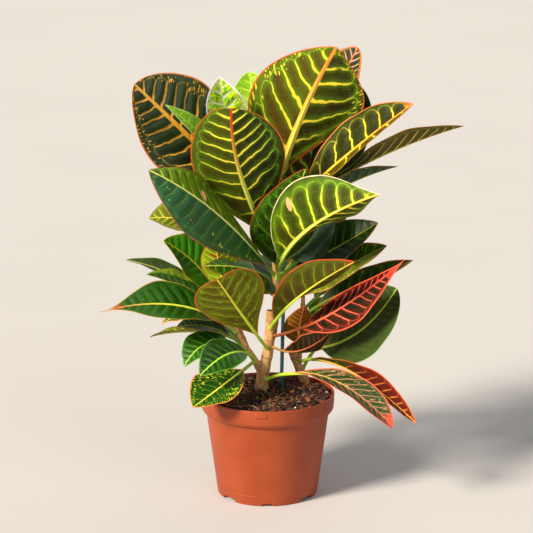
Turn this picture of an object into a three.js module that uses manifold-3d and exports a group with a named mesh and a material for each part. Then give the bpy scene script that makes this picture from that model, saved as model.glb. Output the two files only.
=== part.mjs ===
// A potted croton: a nursery pot full of soil, a support cane, two woody plants and their broad leaves.
// Millimetres, +Z up. The origin is the middle of the pot's foot, and the front of the plant faces -Y.
// Each leaf is one closed solid, petiole, midrib and blade together, and it grows from one of the stems.

import * as THREE from "three";
import Module from "manifold-3d";
import { mergeVertices } from "three/addons/utils/BufferGeometryUtils.js";

const wasm = await Module();
wasm.setup();

// Driving dimensions
const POT_RIM_RADIUS = 85;
const POT_HEIGHT = 131;
const POT_FOOT_RADIUS = 63.5;
const POT_WALL = 2.2;
const BAND_HEIGHT = 23;
const BAND_STEP = 7;
const FLOOR_HEIGHT = 6;
const CENTRE_FOOT_RADIUS = 14;
const SOIL_LEVEL = 128;
const SOIL_MOUND = 5;
const CANE_RADIUS = 2.5;
const BLADE_THICKNESS = 1.1;
const PETIOLE_RADIUS = 2.1;
const SLIM_PETIOLE_RADIUS = 1.5;
const BARK_SWELLING = 0.5;
const GAP = 0.3;

const POT_SIDES = 36;
const SOIL_SIDES = 28;
const STEM_SIDES = 10;

const { degToRad, lerp } = THREE.MathUtils;
const vector = (p) => new THREE.Vector3(p[0], p[1], p[2]);

// Solids

// Stitches rings of equal length into one closed surface and caps both ends. A leaf's underside is the
// second half of each ring, and its quads are split along the same diagonals as those of the upper side.
function closedFromRings(rings, isUnderside = () => false) {
  const count = rings[0].length;
  const index = [];
  for (let i = 0; i + 1 < rings.length; i++) {
    for (let k = 0; k < count; k++) {
      const [a, b] = [i * count + k, i * count + ((k + 1) % count)];
      const [c, d] = [a + count, b + count];
      if (isUnderside(k)) index.push(a, b, c, b, d, c);
      else index.push(a, b, d, a, d, c);
    }
  }
  const last = (rings.length - 1) * count;
  for (let k = 1; k + 1 < count; k++) {
    index.push(0, k + 1, k);
    index.push(last, last + k, last + k + 1);
  }
  const positions = rings.flat().flatMap((p) => [...p]);
  const geometry = new THREE.BufferGeometry();
  geometry.setAttribute("position", new THREE.Float32BufferAttribute(positions, 3));
  geometry.setIndex(index);
  return geometry;
}

function solidOf(geometry) {
  const bare = new THREE.BufferGeometry();
  bare.setAttribute("position", geometry.getAttribute("position"));
  bare.setIndex(geometry.index);
  const merged = mergeVertices(bare, 1e-4);
  const corners = [];
  for (let i = 0; i < merged.index.count; i += 3) {
    const [a, b, c] = merged.index.array.subarray(i, i + 3);
    if (a !== b && b !== c && c !== a) corners.push(a, b, c);
  }
  const vertProperties = merged.attributes.position.array;
  const triVerts = new Uint32Array(corners);
  return new wasm.Manifold(new wasm.Mesh({ numProp: 3, vertProperties, triVerts }));
}

function geometryOf(solid) {
  const mesh = solid.getMesh();
  const geometry = new THREE.BufferGeometry();
  geometry.setAttribute("position", new THREE.BufferAttribute(new Float32Array(mesh.vertProperties), 3));
  geometry.setIndex(new THREE.BufferAttribute(new Uint32Array(mesh.triVerts), 1));
  return geometry;
}

// A solid of revolution about Z. Its profile [radius, z] starts and ends on the axis.
function turned(profile, sides) {
  const points = profile.map(([radius, z]) => new THREE.Vector2(radius, z));
  return solidOf(new THREE.LatheGeometry(points, sides).rotateX(Math.PI / 2));
}

// Stems

// A stretch of stem runs up through points [x, y, z, radius], in rings that are thicker every second time,
// as bark is where leaves grew.
class Stem {
  constructor(steps, points) {
    this.steps = steps;
    this.points = points;
    this.curve = new THREE.CatmullRomCurve3(points.map(vector), false, "centripetal");
  }

  ringRadius(i) {
    const at = (i / this.steps) * (this.points.length - 1);
    const k = Math.min(Math.floor(at), this.points.length - 2);
    return lerp(this.points[k][3], this.points[k + 1][3], at - k) + (i % 2 ? BARK_SWELLING : 0);
  }

  radiusAt(t) {
    const i = Math.min(Math.floor(t * this.steps), this.steps - 1);
    return lerp(this.ringRadius(i), this.ringRadius(i + 1), t * this.steps - i);
  }

  // The curve's parameter where the stem reaches a height
  parameterAt(height) {
    let [low, high] = [0, 1];
    for (let i = 0; i < 30; i++) {
      const middle = (low + high) / 2;
      if (this.curve.getPoint(middle).z < height) low = middle;
      else high = middle;
    }
    return low;
  }

  // A hole for the stem is its own tube with a gap all round.
  solid(gap = 0) {
    const rings = [];
    for (let i = 0; i <= this.steps; i++) {
      const along = this.curve.getTangent(i / this.steps).normalize();
      const front = new THREE.Vector3(0, 1, 0).addScaledVector(along, -along.y).normalize();
      const side = new THREE.Vector3().crossVectors(front, along);
      const centre = this.curve.getPoint(i / this.steps);
      if (i === 0) centre.addScaledVector(along, -gap);
      const radius = this.ringRadius(i) + gap;
      const ring = [];
      for (let k = 0; k < STEM_SIDES; k++) {
        const angle = (2 * Math.PI * k) / STEM_SIDES;
        const spoke = side.clone().multiplyScalar(Math.cos(angle)).addScaledVector(front, Math.sin(angle));
        ring.push(centre.clone().addScaledVector(spoke, radius));
      }
      rings.push(ring);
    }
    return solidOf(closedFromRings(rings));
  }
}

const trunk = new Stem(14, [
  [-6, 0, 66, 7],
  [-8, 0, 105, 9],
  [-8, 0, 128, 9.5],
  [-7, 1, 146, 7.8],
  [-3, 2, 166, 7.2],
  [1, 3, 186, 6.6],
  [3, 3, 212, 6.2],
  [4, 3, 236, 5.8],
]);
const leader = new Stem(22, [
  [0, 5, 182, 4.5],
  [7, 15, 208, 5],
  [11, 22, 240, 5],
  [11, 22, 280, 4.8],
  [7, 19, 320, 4.4],
  [2, 14, 360, 3.8],
  [-3, 10, 400, 3.2],
  [-4, 8, 422, 2.4],
]);
const frontBranch = new Stem(8, [
  [-4, 1, 158, 3.2],
  [-19, -4, 180, 2.9],
  [-37, -7, 209, 2.7],
  [-46, -5, 242, 2.4],
]);
const backBranch = new Stem(8, [
  [-6, 2, 148, 3],
  [-19, 9, 172, 2.8],
  [-32, 17, 200, 2.6],
  [-43, 24, 230, 2.3],
]);
const sideStem = new Stem(8, [
  [52, 38, 70, 5],
  [49, 38, 128, 6.4],
  [40, 36, 152, 5.4],
  [31, 33, 174, 5],
]);
const sideShoot = new Stem(8, [
  [38, 36, 156, 3.6],
  [43, 41, 180, 3.6],
  [45, 43, 212, 3.2],
  [45, 44, 244, 2.5],
]);
const cane = new Stem(2, [
  [14.5, 4.6, 24, CANE_RADIUS],
  [17.5, 5.3, 140, CANE_RADIUS - BARK_SWELLING],
  [20, 6, 254, CANE_RADIUS],
]);

// Leaves

// A leaf's midrib is a curve from its stem through middle to tip. face is the way its upper side looks.
// The halves rise from the midrib by fold and curl further up towards the margin, in degrees, and the
// margin waves up and down. twist turns the tip against the base. A blunt leaf is broad near its tip, and a
// larger belly moves its widest place that way, by skew more on one half than on the other.
const LEAF_DEFAULTS = {
  petiole: 0.16,
  fold: 12,
  curl: 8,
  wave: 2,
  ruffles: 1.5,
  twist: 0,
  blunt: 0.5,
  belly: 1.15,
  skew: 0,
  slim: false,
};
const BLADE_STATIONS = [0.04, 0.13, 0.26, 0.4, 0.54, 0.68, 0.81, 0.92, 1];
const SLIM_BLADE_STATIONS = [0.05, 0.22, 0.42, 0.62, 0.82, 1];

function leafFrame(leaf, t) {
  const [start, bend, tip] = leaf.midrib;
  const centre = start
    .clone()
    .multiplyScalar((1 - t) ** 2)
    .addScaledVector(bend, 2 * t * (1 - t))
    .addScaledVector(tip, t ** 2);
  const along = bend.clone().sub(start).multiplyScalar(1 - t);
  along.addScaledVector(tip.clone().sub(bend), t).normalize();
  const face = vector(leaf.face);
  const up = face.addScaledVector(along, -face.dot(along)).normalize();
  up.applyAxisAngle(along, degToRad(leaf.twist * (t - 0.5)));
  return { centre, up, side: along.cross(up) };
}

// The width of one half of the blade at b, which runs from 0 at its base to 1 at its tip
function halfWidth(leaf, b, half) {
  const fullness = lerp(0.9, lerp(1.1, 0.5, leaf.blunt), b);
  const belly = leaf.belly + leaf.skew * half;
  return (leaf.width / 2) * Math.max(Math.sin(Math.PI * b ** belly), 0) ** fullness;
}

function bladePoint(leaf, b, v) {
  const { centre, up, side } = leafFrame(leaf, lerp(leaf.petiole, 1, b));
  const reach = Math.max(halfWidth(leaf, b, Math.sign(v)), 1) * Math.abs(v);
  const rise = degToRad(leaf.fold + (leaf.curl * Math.abs(v)) / 2);
  const swell = leaf.wave * v * v * Math.sin(Math.PI * b);
  const ripple = swell * Math.sin(2 * Math.PI * (leaf.ruffles * b + 0.2 * v));
  return centre
    .addScaledVector(side, reach * Math.cos(rise) * Math.sign(v))
    .addScaledVector(up, reach * Math.sin(rise) + ripple);
}

function bladeNormal(leaf, b, v) {
  const step = 0.01;
  const before = bladePoint(leaf, Math.max(b - step, 0), v);
  const along = bladePoint(leaf, Math.min(b + step, 1), v).sub(before);
  const left = bladePoint(leaf, b, Math.max(v - step, -1));
  const across = bladePoint(leaf, b, Math.min(v + step, 1)).sub(left);
  return across.cross(along).normalize();
}

// Each ring goes once round the leaf's section: across the upper side and back along the underside.
function leafGeometry(leaf) {
  const columns = leaf.slim ? [-1, 0, 1] : [-1, -0.55, 0, 0.55, 1];
  const around = [...columns.map((v) => [v, 1]), ...columns.toReversed().map((v) => [v, -1])];
  const rings = [];
  for (const t of [0, leaf.petiole * 0.92]) {
    const { centre, up, side } = leafFrame(leaf, t);
    const rim = ([v, sign]) => {
      const angle = (v * Math.PI) / 2.6;
      return centre
        .clone()
        .addScaledVector(side, leaf.stalk * Math.sin(angle))
        .addScaledVector(up, leaf.stalk * Math.cos(angle) * sign);
    };
    rings.push(around.map(rim));
  }
  for (const b of leaf.slim ? SLIM_BLADE_STATIONS : BLADE_STATIONS) {
    const rib = leaf.stalk * 0.8 * (1 - b);
    const skin = ([v, sign]) => {
      const depth = BLADE_THICKNESS / 2 + (v === 0 && sign < 0 ? rib : 0);
      return bladePoint(leaf, b, v).addScaledVector(bladeNormal(leaf, b, v), depth * sign);
    };
    rings.push(around.map(skin));
  }
  return closedFromRings(rings, (k) => k >= columns.length && k < 2 * columns.length - 1);
}

// The petiole starts a gap away from the bark, on the side that the leaf heads for.
function grown(name, stem, node, tip, middle, face, width, traits = {}) {
  const leaf = { ...LEAF_DEFAULTS, name, face, width, ...traits };
  leaf.stalk = leaf.slim ? SLIM_PETIOLE_RADIUS : PETIOLE_RADIUS;
  const t = stem.parameterAt(node);
  const heart = stem.curve.getPoint(t);
  const axis = stem.curve.getTangent(t).normalize();
  const bendFrom = (start) => {
    const ends = start.clone().add(vector(tip));
    return vector(middle).multiplyScalar(2).addScaledVector(ends, -0.5);
  };
  const heading = bendFrom(heart).sub(heart).normalize();
  const lean = heading.dot(axis);
  const outward = heading.clone().addScaledVector(axis, -lean).normalize();
  const reach = stem.radiusAt(t) + GAP + leaf.stalk * Math.abs(lean);
  const start = heart.clone().addScaledVector(outward, reach);
  leaf.midrib = [start, bendFrom(start), vector(tip)];
  return leaf;
}

const LEAVES = [
  // The crown
  grown("crown_tall", leader, 372, [83, -24, 572], [39, -15, 481], [-0.05, 0.95, 0.1], 139, {
    blunt: 0.5,
    belly: 1.2,
    skew: -0.25,
    fold: 7,
  }),
  grown("crown_front", leader, 322, [-43, -86, 508], [-33, -54, 422], [0.1, 0.9, 0.35], 120, {
    petiole: 0.06,
    fold: 8,
    blunt: 1.1,
    belly: 1.22,
    skew: -0.18,
  }),
  grown("crown_left", leader, 360, [-161, -32, 528], [-89, -4, 451], [0.3, -0.85, 0.45], 126, {
    blunt: 0.8,
    fold: 6,
  }),
  grown("crown_right", leader, 348, [174, -60, 509], [88, -34, 434], [-0.59, -0.33, 0.72], 92, {
    fold: 17,
  }),
  grown("crown_young", leader, 404, [-57, -38, 538], [-46, -22, 480], [0.2, -0.95, 0.25], 52),
  grown("crown_bud", leader, 414, [-22, 30, 534], [-16, 20, 470], [0, -0.9, 0.3], 62, { blunt: 0.9 }),
  grown("crown_strip", leader, 396, [-122, -60, 508], [-62, -22, 450], [0.2, -0.6, 0.7], 30, {
    slim: true,
  }),
  grown("crown_behind_left", leader, 390, [-62, 58, 520], [-44, 44, 456], [0.5, -0.6, 0.5], 66),
  grown("crown_behind_right", leader, 386, [112, 44, 562], [60, 36, 472], [-0.4, -0.7, 0.4], 80, {
    blunt: 0.9,
  }),
  grown("crown_dark", leader, 366, [108, 40, 520], [90, 26, 438], [-0.5, -0.7, 0.4], 84),

  // The upper half of the leader
  grown("far_right", leader, 354, [245, 48, 463], [128, 50, 418], [-0.35, 0.38, 0.85], 76),
  grown("right_under", leader, 334, [161, 20, 417], [85, 26, 386], [-0.3, 0.35, 0.85], 54),
  grown("front_right", leader, 276, [133, -125, 413], [46, -74, 356], [-0.24, 0.92, 0.25], 114, {
    blunt: -0.2,
    belly: 1.05,
    fold: 36,
    twist: -12,
  }),
  grown("front_net", leader, 290, [46, -64, 431], [22, -34, 352], [-0.1, 0.9, 0.3], 87, {
    petiole: 0.04,
    blunt: 0.6,
    belly: 0.85,
  }),
  grown("left_two_tone", leader, 280, [-141, -102, 437], [-61, -74, 378], [0.48, -0.55, 0.66], 100, {
    petiole: 0.06,
    fold: -14,
    curl: 0,
  }),
  grown("left_olive", leader, 312, [-148, 20, 351], [-80, 22, 344], [0.2, -0.45, 0.85], 64, {
    petiole: 0.3,
  }),
  grown("left_patch", frontBranch, 241, [-64, -30, 335], [-58, -14, 290], [0, 0.95, 0.3], 48),
  grown("right_dotted", leader, 280, [137, 0, 350], [72, 10, 308], [-0.3, -0.6, 0.75], 66),
  grown("right_slate", leader, 296, [76, 0, 370], [50, 6, 322], [-0.4, -0.8, 0.3], 66, { blunt: 0.9 }),
  grown("front_edge", leader, 256, [-77, -98, 319], [-15, -40, 298], [0.08, -0.5, 0.85], 70, {
    fold: -16,
    curl: -4,
    belly: 0.8,
  }),
  grown("right_rimmed", leader, 236, [147, -22, 326], [76, -6, 282], [-0.3, -0.5, 0.8], 58),
  grown("right_glossy", sideShoot, 221, [183, 28, 295], [99, 44, 251], [-0.35, -0.5, 0.75], 42),

  // The trunk and its branches
  grown("front_olive", trunk, 190, [-60, -120, 308], [-28, -70, 246], [-0.15, 0.9, 0.3], 90, {
    blunt: 1.2,
    belly: 2,
  }),
  grown("right_curled", trunk, 217, [104, -105, 326], [38, -64, 272], [-0.35, 0.85, 0.3], 62, {
    petiole: 0.1,
    fold: 30,
    twist: -20,
  }),
  grown("right_coral", trunk, 205, [166, -74, 321], [80, -43, 246], [-0.45, -0.72, 0.48], 52, {
    petiole: 0.25,
    blunt: -0.6,
    belly: 0.85,
    fold: -30,
  }),
  grown("low_coral", trunk, 190, [80, -26, 218], [42, -18, 191], [-0.2, 0.8, 0.6], 42, { slim: true }),
  grown("low_striped", trunk, 150, [152, -110, 119], [76, -66, 168], [0.5, -0.4, 0.8], 58, {
    belly: 1.6,
    blunt: 0.7,
  }),
  grown("low_front", frontBranch, 174, [-91, -95, 140], [-55, -54, 156], [-0.15, -0.6, 0.8], 64),
  grown("left_upright", frontBranch, 234, [-129, -22, 332], [-83, -3, 290], [0.15, -0.6, 0.75], 64),
  grown("left_tucked", frontBranch, 226, [-150, -13, 287], [-98, -8, 264], [0, 0.1, 1], 52, { fold: 30 }),
  grown("left_yellow_rib", frontBranch, 214, [-205, -63, 252], [-112, -46, 256], [0.05, -0.5, 0.8], 68, {
    blunt: -1.5,
    belly: 0.9,
  }),
  grown("left_dark", frontBranch, 198, [-114, -10, 218], [-72, -4, 216], [0.1, -0.2, 0.95], 44),
  grown("low_curl", frontBranch, 188, [-103, -48, 178], [-72, -26, 202], [-0.3, -0.6, 0.7], 44),
  grown("low_bright", frontBranch, 178, [-83, -80, 176], [-46, -50, 196], [-0.2, -0.75, 0.6], 52),
  grown("left_far", backBranch, 224, [-179, 34, 294], [-108, 40, 266], [0.1, -0.2, 0.95], 38),
  grown("left_speckled", backBranch, 208, [-137, 60, 203], [-88, 42, 220], [0.1, -0.3, 0.9], 40, {
    slim: true,
  }),
  grown("left_thin", backBranch, 196, [-149, 20, 197], [-92, 20, 204], [0.1, 0.2, 0.95], 40, {
    slim: true,
  }),

  // The second plant
  grown("right_broad", sideShoot, 176, [160, -24, 272], [109, -3, 206], [-0.35, -0.7, 0.6], 98, {
    blunt: 0.9,
  }),
  grown("right_upright", sideShoot, 176, [46, -8, 246], [40, 14, 208], [-0.2, 0.9, 0.2], 40, {
    slim: true,
    belly: 0.8,
  }),
  grown("right_bright", sideShoot, 206, [98, 66, 226], [68, 56, 224], [0, -0.2, 1], 44, { slim: true }),
  grown("low_maroon", sideStem, 160, [183, -80, 115], [99, -30, 170], [0.3, 0.45, 0.85], 50, {
    twist: -80,
  }),

  // The back
  grown("back_tall", leader, 378, [10, 104, 502], [6, 64, 446], [0, -0.8, 0.5], 108, { blunt: 0.8 }),
  grown("back_top_left", leader, 370, [-96, 78, 470], [-52, 50, 420], [0.4, -0.6, 0.6], 80),
  grown("back_right", leader, 342, [112, 112, 466], [56, 66, 408], [-0.5, -0.5, 0.7], 98),
  grown("back_left", leader, 330, [-118, 104, 458], [-56, 62, 400], [0.5, -0.5, 0.7], 98),
  grown("back_middle", leader, 308, [-6, 146, 396], [2, 84, 352], [0, -0.5, 0.85], 100),
  grown("back_mid_right", leader, 268, [102, 118, 350], [56, 74, 316], [-0.3, -0.4, 0.85], 86),
  grown("back_mid_left", leader, 256, [-104, 112, 284], [-50, 72, 276], [0.3, -0.1, 0.95], 80),
  grown("back_low_middle", leader, 226, [14, 138, 272], [12, 82, 260], [0, -0.2, 1], 82),
  grown("back_low_right", sideShoot, 228, [120, 112, 262], [84, 80, 251], [-0.2, -0.2, 0.95], 75),
  grown("back_low_left", backBranch, 216, [-110, 116, 236], [-76, 72, 232], [0.2, -0.2, 0.95], 70),
  grown("back_floor_right", sideStem, 148, [98, 128, 172], [74, 84, 178], [0.2, 0.2, 0.95], 58),
  grown("back_floor_left", backBranch, 180, [-88, 118, 178], [-56, 70, 190], [-0.2, 0.2, 0.95], 58),
];

// The leaves' general colours. The leaves not named here are deep green.
const DEEP_GREEN = 0x2c4a1d;
const LEAF_TINTS = [
  {
    color: 0x1f2f1a,
    leaves: ["crown_left", "crown_right", "crown_behind_left", "crown_behind_right", "crown_dark"],
  },
  {
    color: 0x22331c,
    leaves: ["right_under", "right_dotted", "right_rimmed", "right_glossy", "left_dark"],
  },
  {
    color: 0x4f5a22,
    leaves: ["crown_tall", "crown_front", "far_right", "front_right", "front_olive", "right_curled"],
  },
  {
    color: 0x6a7a33,
    leaves: ["left_olive", "left_patch", "left_speckled", "left_thin", "back_top_left", "back_mid_right"],
  },
  {
    color: 0x3c6b24,
    leaves: ["right_broad", "right_bright", "low_curl", "low_bright", "left_yellow_rib", "back_low_middle"],
  },
  {
    color: 0x9fb63c,
    leaves: ["crown_young", "crown_bud", "crown_strip"],
  },
  {
    color: 0x2b4340,
    leaves: ["right_slate"],
  },
  {
    color: 0x8e3420,
    leaves: ["right_coral", "right_upright", "low_coral"],
  },
  {
    color: 0x5c2216,
    leaves: ["low_maroon", "back_floor_right"],
  },
];

// Pot

const wallRadius = (z) => lerp(POT_FOOT_RADIUS, POT_RIM_RADIUS - BAND_STEP, z / (POT_HEIGHT - BAND_HEIGHT));

// A slot with slanted sides, cut through the foot ring at an angle from the front
function footNotch(angle, width, height) {
  const half = width / 2;
  const corners = [
    [-half, -1],
    [half, -1],
    [half - height * 0.35, height],
    [height * 0.35 - half, height],
  ];
  const outline = new THREE.Shape(corners.map(([x, y]) => new THREE.Vector2(x, y)));
  const tool = new THREE.ExtrudeGeometry(outline, { depth: 14, bevelEnabled: false });
  tool.rotateX(Math.PI / 2).translate(0, 9 - POT_FOOT_RADIUS, 0).rotateZ(degToRad(angle));
  return solidOf(mergeVertices(tool, 1e-4));
}

function potSolid() {
  const band = POT_HEIGHT - BAND_HEIGHT;
  const inner = (z) => wallRadius(z) - POT_WALL;
  let pot = turned(
    [
      [0, 0],
      [CENTRE_FOOT_RADIUS, 0],
      [CENTRE_FOOT_RADIUS + 1, FLOOR_HEIGHT - 1.5],
      [POT_FOOT_RADIUS - 5, FLOOR_HEIGHT - 1.5],
      [POT_FOOT_RADIUS - 2.6, 0],
      [POT_FOOT_RADIUS - 0.6, 0],
      [POT_FOOT_RADIUS, 0.8],
      [wallRadius(12.4), 12.4],
      [wallRadius(12.8) + 0.35, 12.8],
      [wallRadius(13.2), 13.2],
      [wallRadius(band), band],
      [POT_RIM_RADIUS - 2, band - 0.4],
      [POT_RIM_RADIUS - 1, band + 1.2],
      [POT_RIM_RADIUS - 0.2, POT_HEIGHT - 2],
      [POT_RIM_RADIUS - 0.5, POT_HEIGHT - 0.5],
      [POT_RIM_RADIUS - 1.2, POT_HEIGHT],
      [POT_RIM_RADIUS - 2.2, POT_HEIGHT],
      [POT_RIM_RADIUS - 3, POT_HEIGHT - 1],
      [POT_RIM_RADIUS - 4, band + 3],
      [inner(band - 3), band - 3],
      [inner(FLOOR_HEIGHT + 2), FLOOR_HEIGHT + 2],
      [inner(FLOOR_HEIGHT) - 3, FLOOR_HEIGHT + 0.8],
      [0, FLOOR_HEIGHT + 0.8],
    ],
    POT_SIDES,
  );
  for (const angle of [0, 90, 180, 270]) pot = pot.subtract(footNotch(angle, 15, 3));
  for (const angle of [50, 130, 230, 310]) pot = pot.subtract(footNotch(angle, 24, FLOOR_HEIGHT - 1.2));
  return pot;
}

// Soil

// The soil fills the pot, is heaped towards the stems and is lumpy on top.
function soilSolid(stems) {
  const inner = (z) => wallRadius(z) - POT_WALL - GAP;
  const band = POT_HEIGHT - BAND_HEIGHT;
  const coarse = (x, y) => 1.1 * Math.sin(x * 0.31 + 1) * Math.cos(y * 0.27);
  const broad = (x, y) => 0.7 * Math.sin(x * 0.13 - y * 0.21);
  const side = [
    [1, FLOOR_HEIGHT + 0.8 + GAP],
    [inner(FLOOR_HEIGHT) - 3.4, FLOOR_HEIGHT + 0.8 + GAP],
    [inner(FLOOR_HEIGHT + 2) - 0.2, FLOOR_HEIGHT + 2.4],
    [inner(band - 3) - 0.2, band - 3],
    [POT_RIM_RADIUS - 4.6, band + 3.4],
    [POT_RIM_RADIUS - 4.2, SOIL_LEVEL - 4],
  ];
  const top = [77, 64, 50, 36, 22, 8, 1].map((radius) => [radius, null]);
  const rings = [...side, ...top].map(([radius, z]) => {
    const ring = [];
    for (let k = 0; k < SOIL_SIDES; k++) {
      const angle = (2 * Math.PI * k) / SOIL_SIDES;
      const [x, y] = [radius * Math.cos(angle), radius * Math.sin(angle)];
      const heap = SOIL_MOUND * (1 - (radius / POT_RIM_RADIUS) ** 2);
      ring.push(new THREE.Vector3(x, y, z ?? SOIL_LEVEL - 1 + heap + coarse(x, y) + broad(x, y)));
    }
    return ring;
  });
  let soil = solidOf(closedFromRings(rings));
  for (const stem of stems) soil = soil.subtract(stem.solid(GAP));
  return soil;
}

// Assembly

const potted = new THREE.Group();

function add(name, geometry, color, roughness) {
  const mesh = new THREE.Mesh(geometry, new THREE.MeshStandardMaterial({ color, roughness, metalness: 0 }));
  mesh.name = name;
  potted.add(mesh);
}

function joined(stems) {
  const solids = stems.map((stem) => stem.solid());
  return geometryOf(solids.reduce((whole, part) => whole.add(part)));
}

add("pot", geometryOf(potSolid()), 0xb9633c, 0.55);
add("soil", geometryOf(soilSolid([trunk, sideStem, cane])), 0x2e1f17, 0.95);
add("cane", joined([cane]), 0x123f45, 0.5);
add("main_plant_stems", joined([trunk, leader, frontBranch, backBranch]), 0x8a6a4a, 0.85);
add("second_plant_stems", joined([sideStem, sideShoot]), 0x8a6a4a, 0.85);
for (const leaf of LEAVES) {
  const tint = LEAF_TINTS.find(({ leaves }) => leaves.includes(leaf.name)) ?? { color: DEEP_GREEN };
  add(`leaf_${leaf.name}`, leafGeometry(leaf), tint.color, 0.38);
}

export default potted;
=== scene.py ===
"""A potted croton in Blender: nursery pot, peat, cane, woody stems and 53 variegated leaves.

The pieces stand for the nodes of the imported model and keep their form. Lengths are in millimetres up to the
mesh, which is in metres. +Z is up and the front of the plant faces -Y.
"""

import logging
from dataclasses import dataclass, field
from enum import Enum

import bpy
import numpy as np
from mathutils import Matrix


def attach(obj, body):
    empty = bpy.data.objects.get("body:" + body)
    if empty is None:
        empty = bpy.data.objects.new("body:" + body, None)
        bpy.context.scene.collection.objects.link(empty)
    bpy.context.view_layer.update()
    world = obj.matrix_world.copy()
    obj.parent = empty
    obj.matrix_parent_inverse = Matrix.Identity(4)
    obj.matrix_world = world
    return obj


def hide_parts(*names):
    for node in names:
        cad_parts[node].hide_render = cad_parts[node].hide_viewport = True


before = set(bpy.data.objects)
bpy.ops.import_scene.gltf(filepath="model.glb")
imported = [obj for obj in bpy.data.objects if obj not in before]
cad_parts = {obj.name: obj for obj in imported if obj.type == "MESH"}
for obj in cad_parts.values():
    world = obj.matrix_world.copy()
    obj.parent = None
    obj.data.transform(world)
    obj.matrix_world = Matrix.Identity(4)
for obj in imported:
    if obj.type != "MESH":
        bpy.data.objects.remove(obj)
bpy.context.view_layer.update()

log = logging.getLogger("croton")

MM = 0.001
Array = np.ndarray
Vec = tuple[float, float, float]
Colour = tuple[float, float, float, float]

# Sizes that the pieces share
POT_RIM_RADIUS = 85.0
POT_HEIGHT = 131.0
POT_FOOT_RADIUS = 63.5
POT_WALL = 2.2
BAND_HEIGHT = 23.0
BAND_STEP = 7.0
FLOOR_HEIGHT = 6.0
CENTRE_FOOT_RADIUS = 14.0
SOIL_LEVEL = 128.0
SOIL_MOUND = 5.0
GAP = 0.3
BARK_SWELLING = 0.5
CANE_FOOT = 24.0
GOLDEN_ANGLE = 2.39996


# Arrays


def unit(vectors: Array) -> Array:
    """Each vector divided by its length."""
    return vectors / np.maximum(np.linalg.norm(vectors, axis=-1, keepdims=True), 1e-12)


def dot(a: Array, b: Array) -> Array:
    """The dot product along the last axis, which is kept."""
    return np.sum(a * b, axis=-1, keepdims=True)


def lerp(a: float | Array, b: float | Array, t: float | Array) -> Array:
    """a at t 0 and b at t 1, on a straight line."""
    return a + (np.asarray(b) - a) * t


def eased(low: float, high: float, x: Array) -> Array:
    """0 up to low, 1 from high, and a smooth S between them."""
    t = np.clip((x - low) / (high - low), 0.0, 1.0)
    return t * t * (3.0 - 2.0 * t)


def ripples(points: Array, length: float, seed: int, waves: int = 7) -> Array:
    """An uneven, smooth value between about -1 and 1 at each point.

    It is a sum of sine waves of about that length, in random directions.

    Args:
        points: Places, with x, y and z on the last axis.
        length: The waves' usual length, in the points' own unit.
        seed: What the directions are drawn from.
        waves: How many waves are added.

    Returns:
        One number for each point.
    """
    rng = np.random.default_rng(seed)
    heading = unit(rng.normal(size=(waves, 3)))
    turns = 2.0 * np.pi / (length * rng.uniform(0.65, 1.5, waves))
    start = rng.uniform(0.0, 2.0 * np.pi, waves)
    return np.sin(points @ (heading * turns[:, None]).T + start).sum(axis=-1) / np.sqrt(waves)


def grid_faces(rows: int, columns: int, closed: bool = True) -> Array:
    """Quads between neighbouring rows of a grid, and round each row if it is closed."""
    i = np.arange(rows - 1)[:, None]
    k = np.arange(columns if closed else columns - 1)[None, :]
    a = i * columns + k
    b = i * columns + (k + 1) % columns
    return np.stack([a, b, b + columns, a + columns], axis=-1).reshape(-1, 4)


def fan(first: int, centre: int, columns: int, outward: bool) -> Array:
    """Triangles from a ring of points to its centre point."""
    k = np.arange(columns)
    a, b = first + k, first + (k + 1) % columns
    corners = [a, b] if outward else [b, a]
    return np.stack([*corners, np.full(columns, centre)], axis=-1)


def shell_faces(rows: int, columns: int, flipped: bool) -> list[Array]:
    """Faces round rows of points and over both ends, whose centre points follow the rows.

    Args:
        rows: How many rows there are.
        columns: How many points are in a row.
        flipped: Whether the faces are wound the other way, so that they still look outwards.

    Returns:
        The quads round the rows, then the first and the last row's triangles.
    """
    total = rows * columns
    sides = grid_faces(rows, columns)
    return [
        sides[:, ::-1] if flipped else sides,
        fan(0, total, columns, flipped),
        fan(total - columns, total + 1, columns, not flipped),
    ]


def copies(faces: list[Array], number: int, size: int) -> list[Array]:
    """The same faces for each of a number of parts, with size points to a part."""
    shift = (np.arange(number) * size)[:, None, None]
    return [(part[None] + shift).reshape(-1, part.shape[1]) for part in faces]


def circle(number: int) -> Array:
    """Angles evenly round a circle, from 0."""
    return np.linspace(0.0, 2 * np.pi, number, endpoint=False)


def travelled(path: Array) -> Array:
    """How far along a path of points each one lies."""
    return np.concatenate([[0.0], np.cumsum(np.linalg.norm(np.diff(path, axis=0), axis=1))])


def spokes(first: Array, second: Array, angle: Array) -> Array:
    """For each pair of axes, the directions at each angle from the first axis towards the second."""
    return first[:, None] * np.cos(angle)[:, None] + second[:, None] * np.sin(angle)[:, None]


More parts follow.
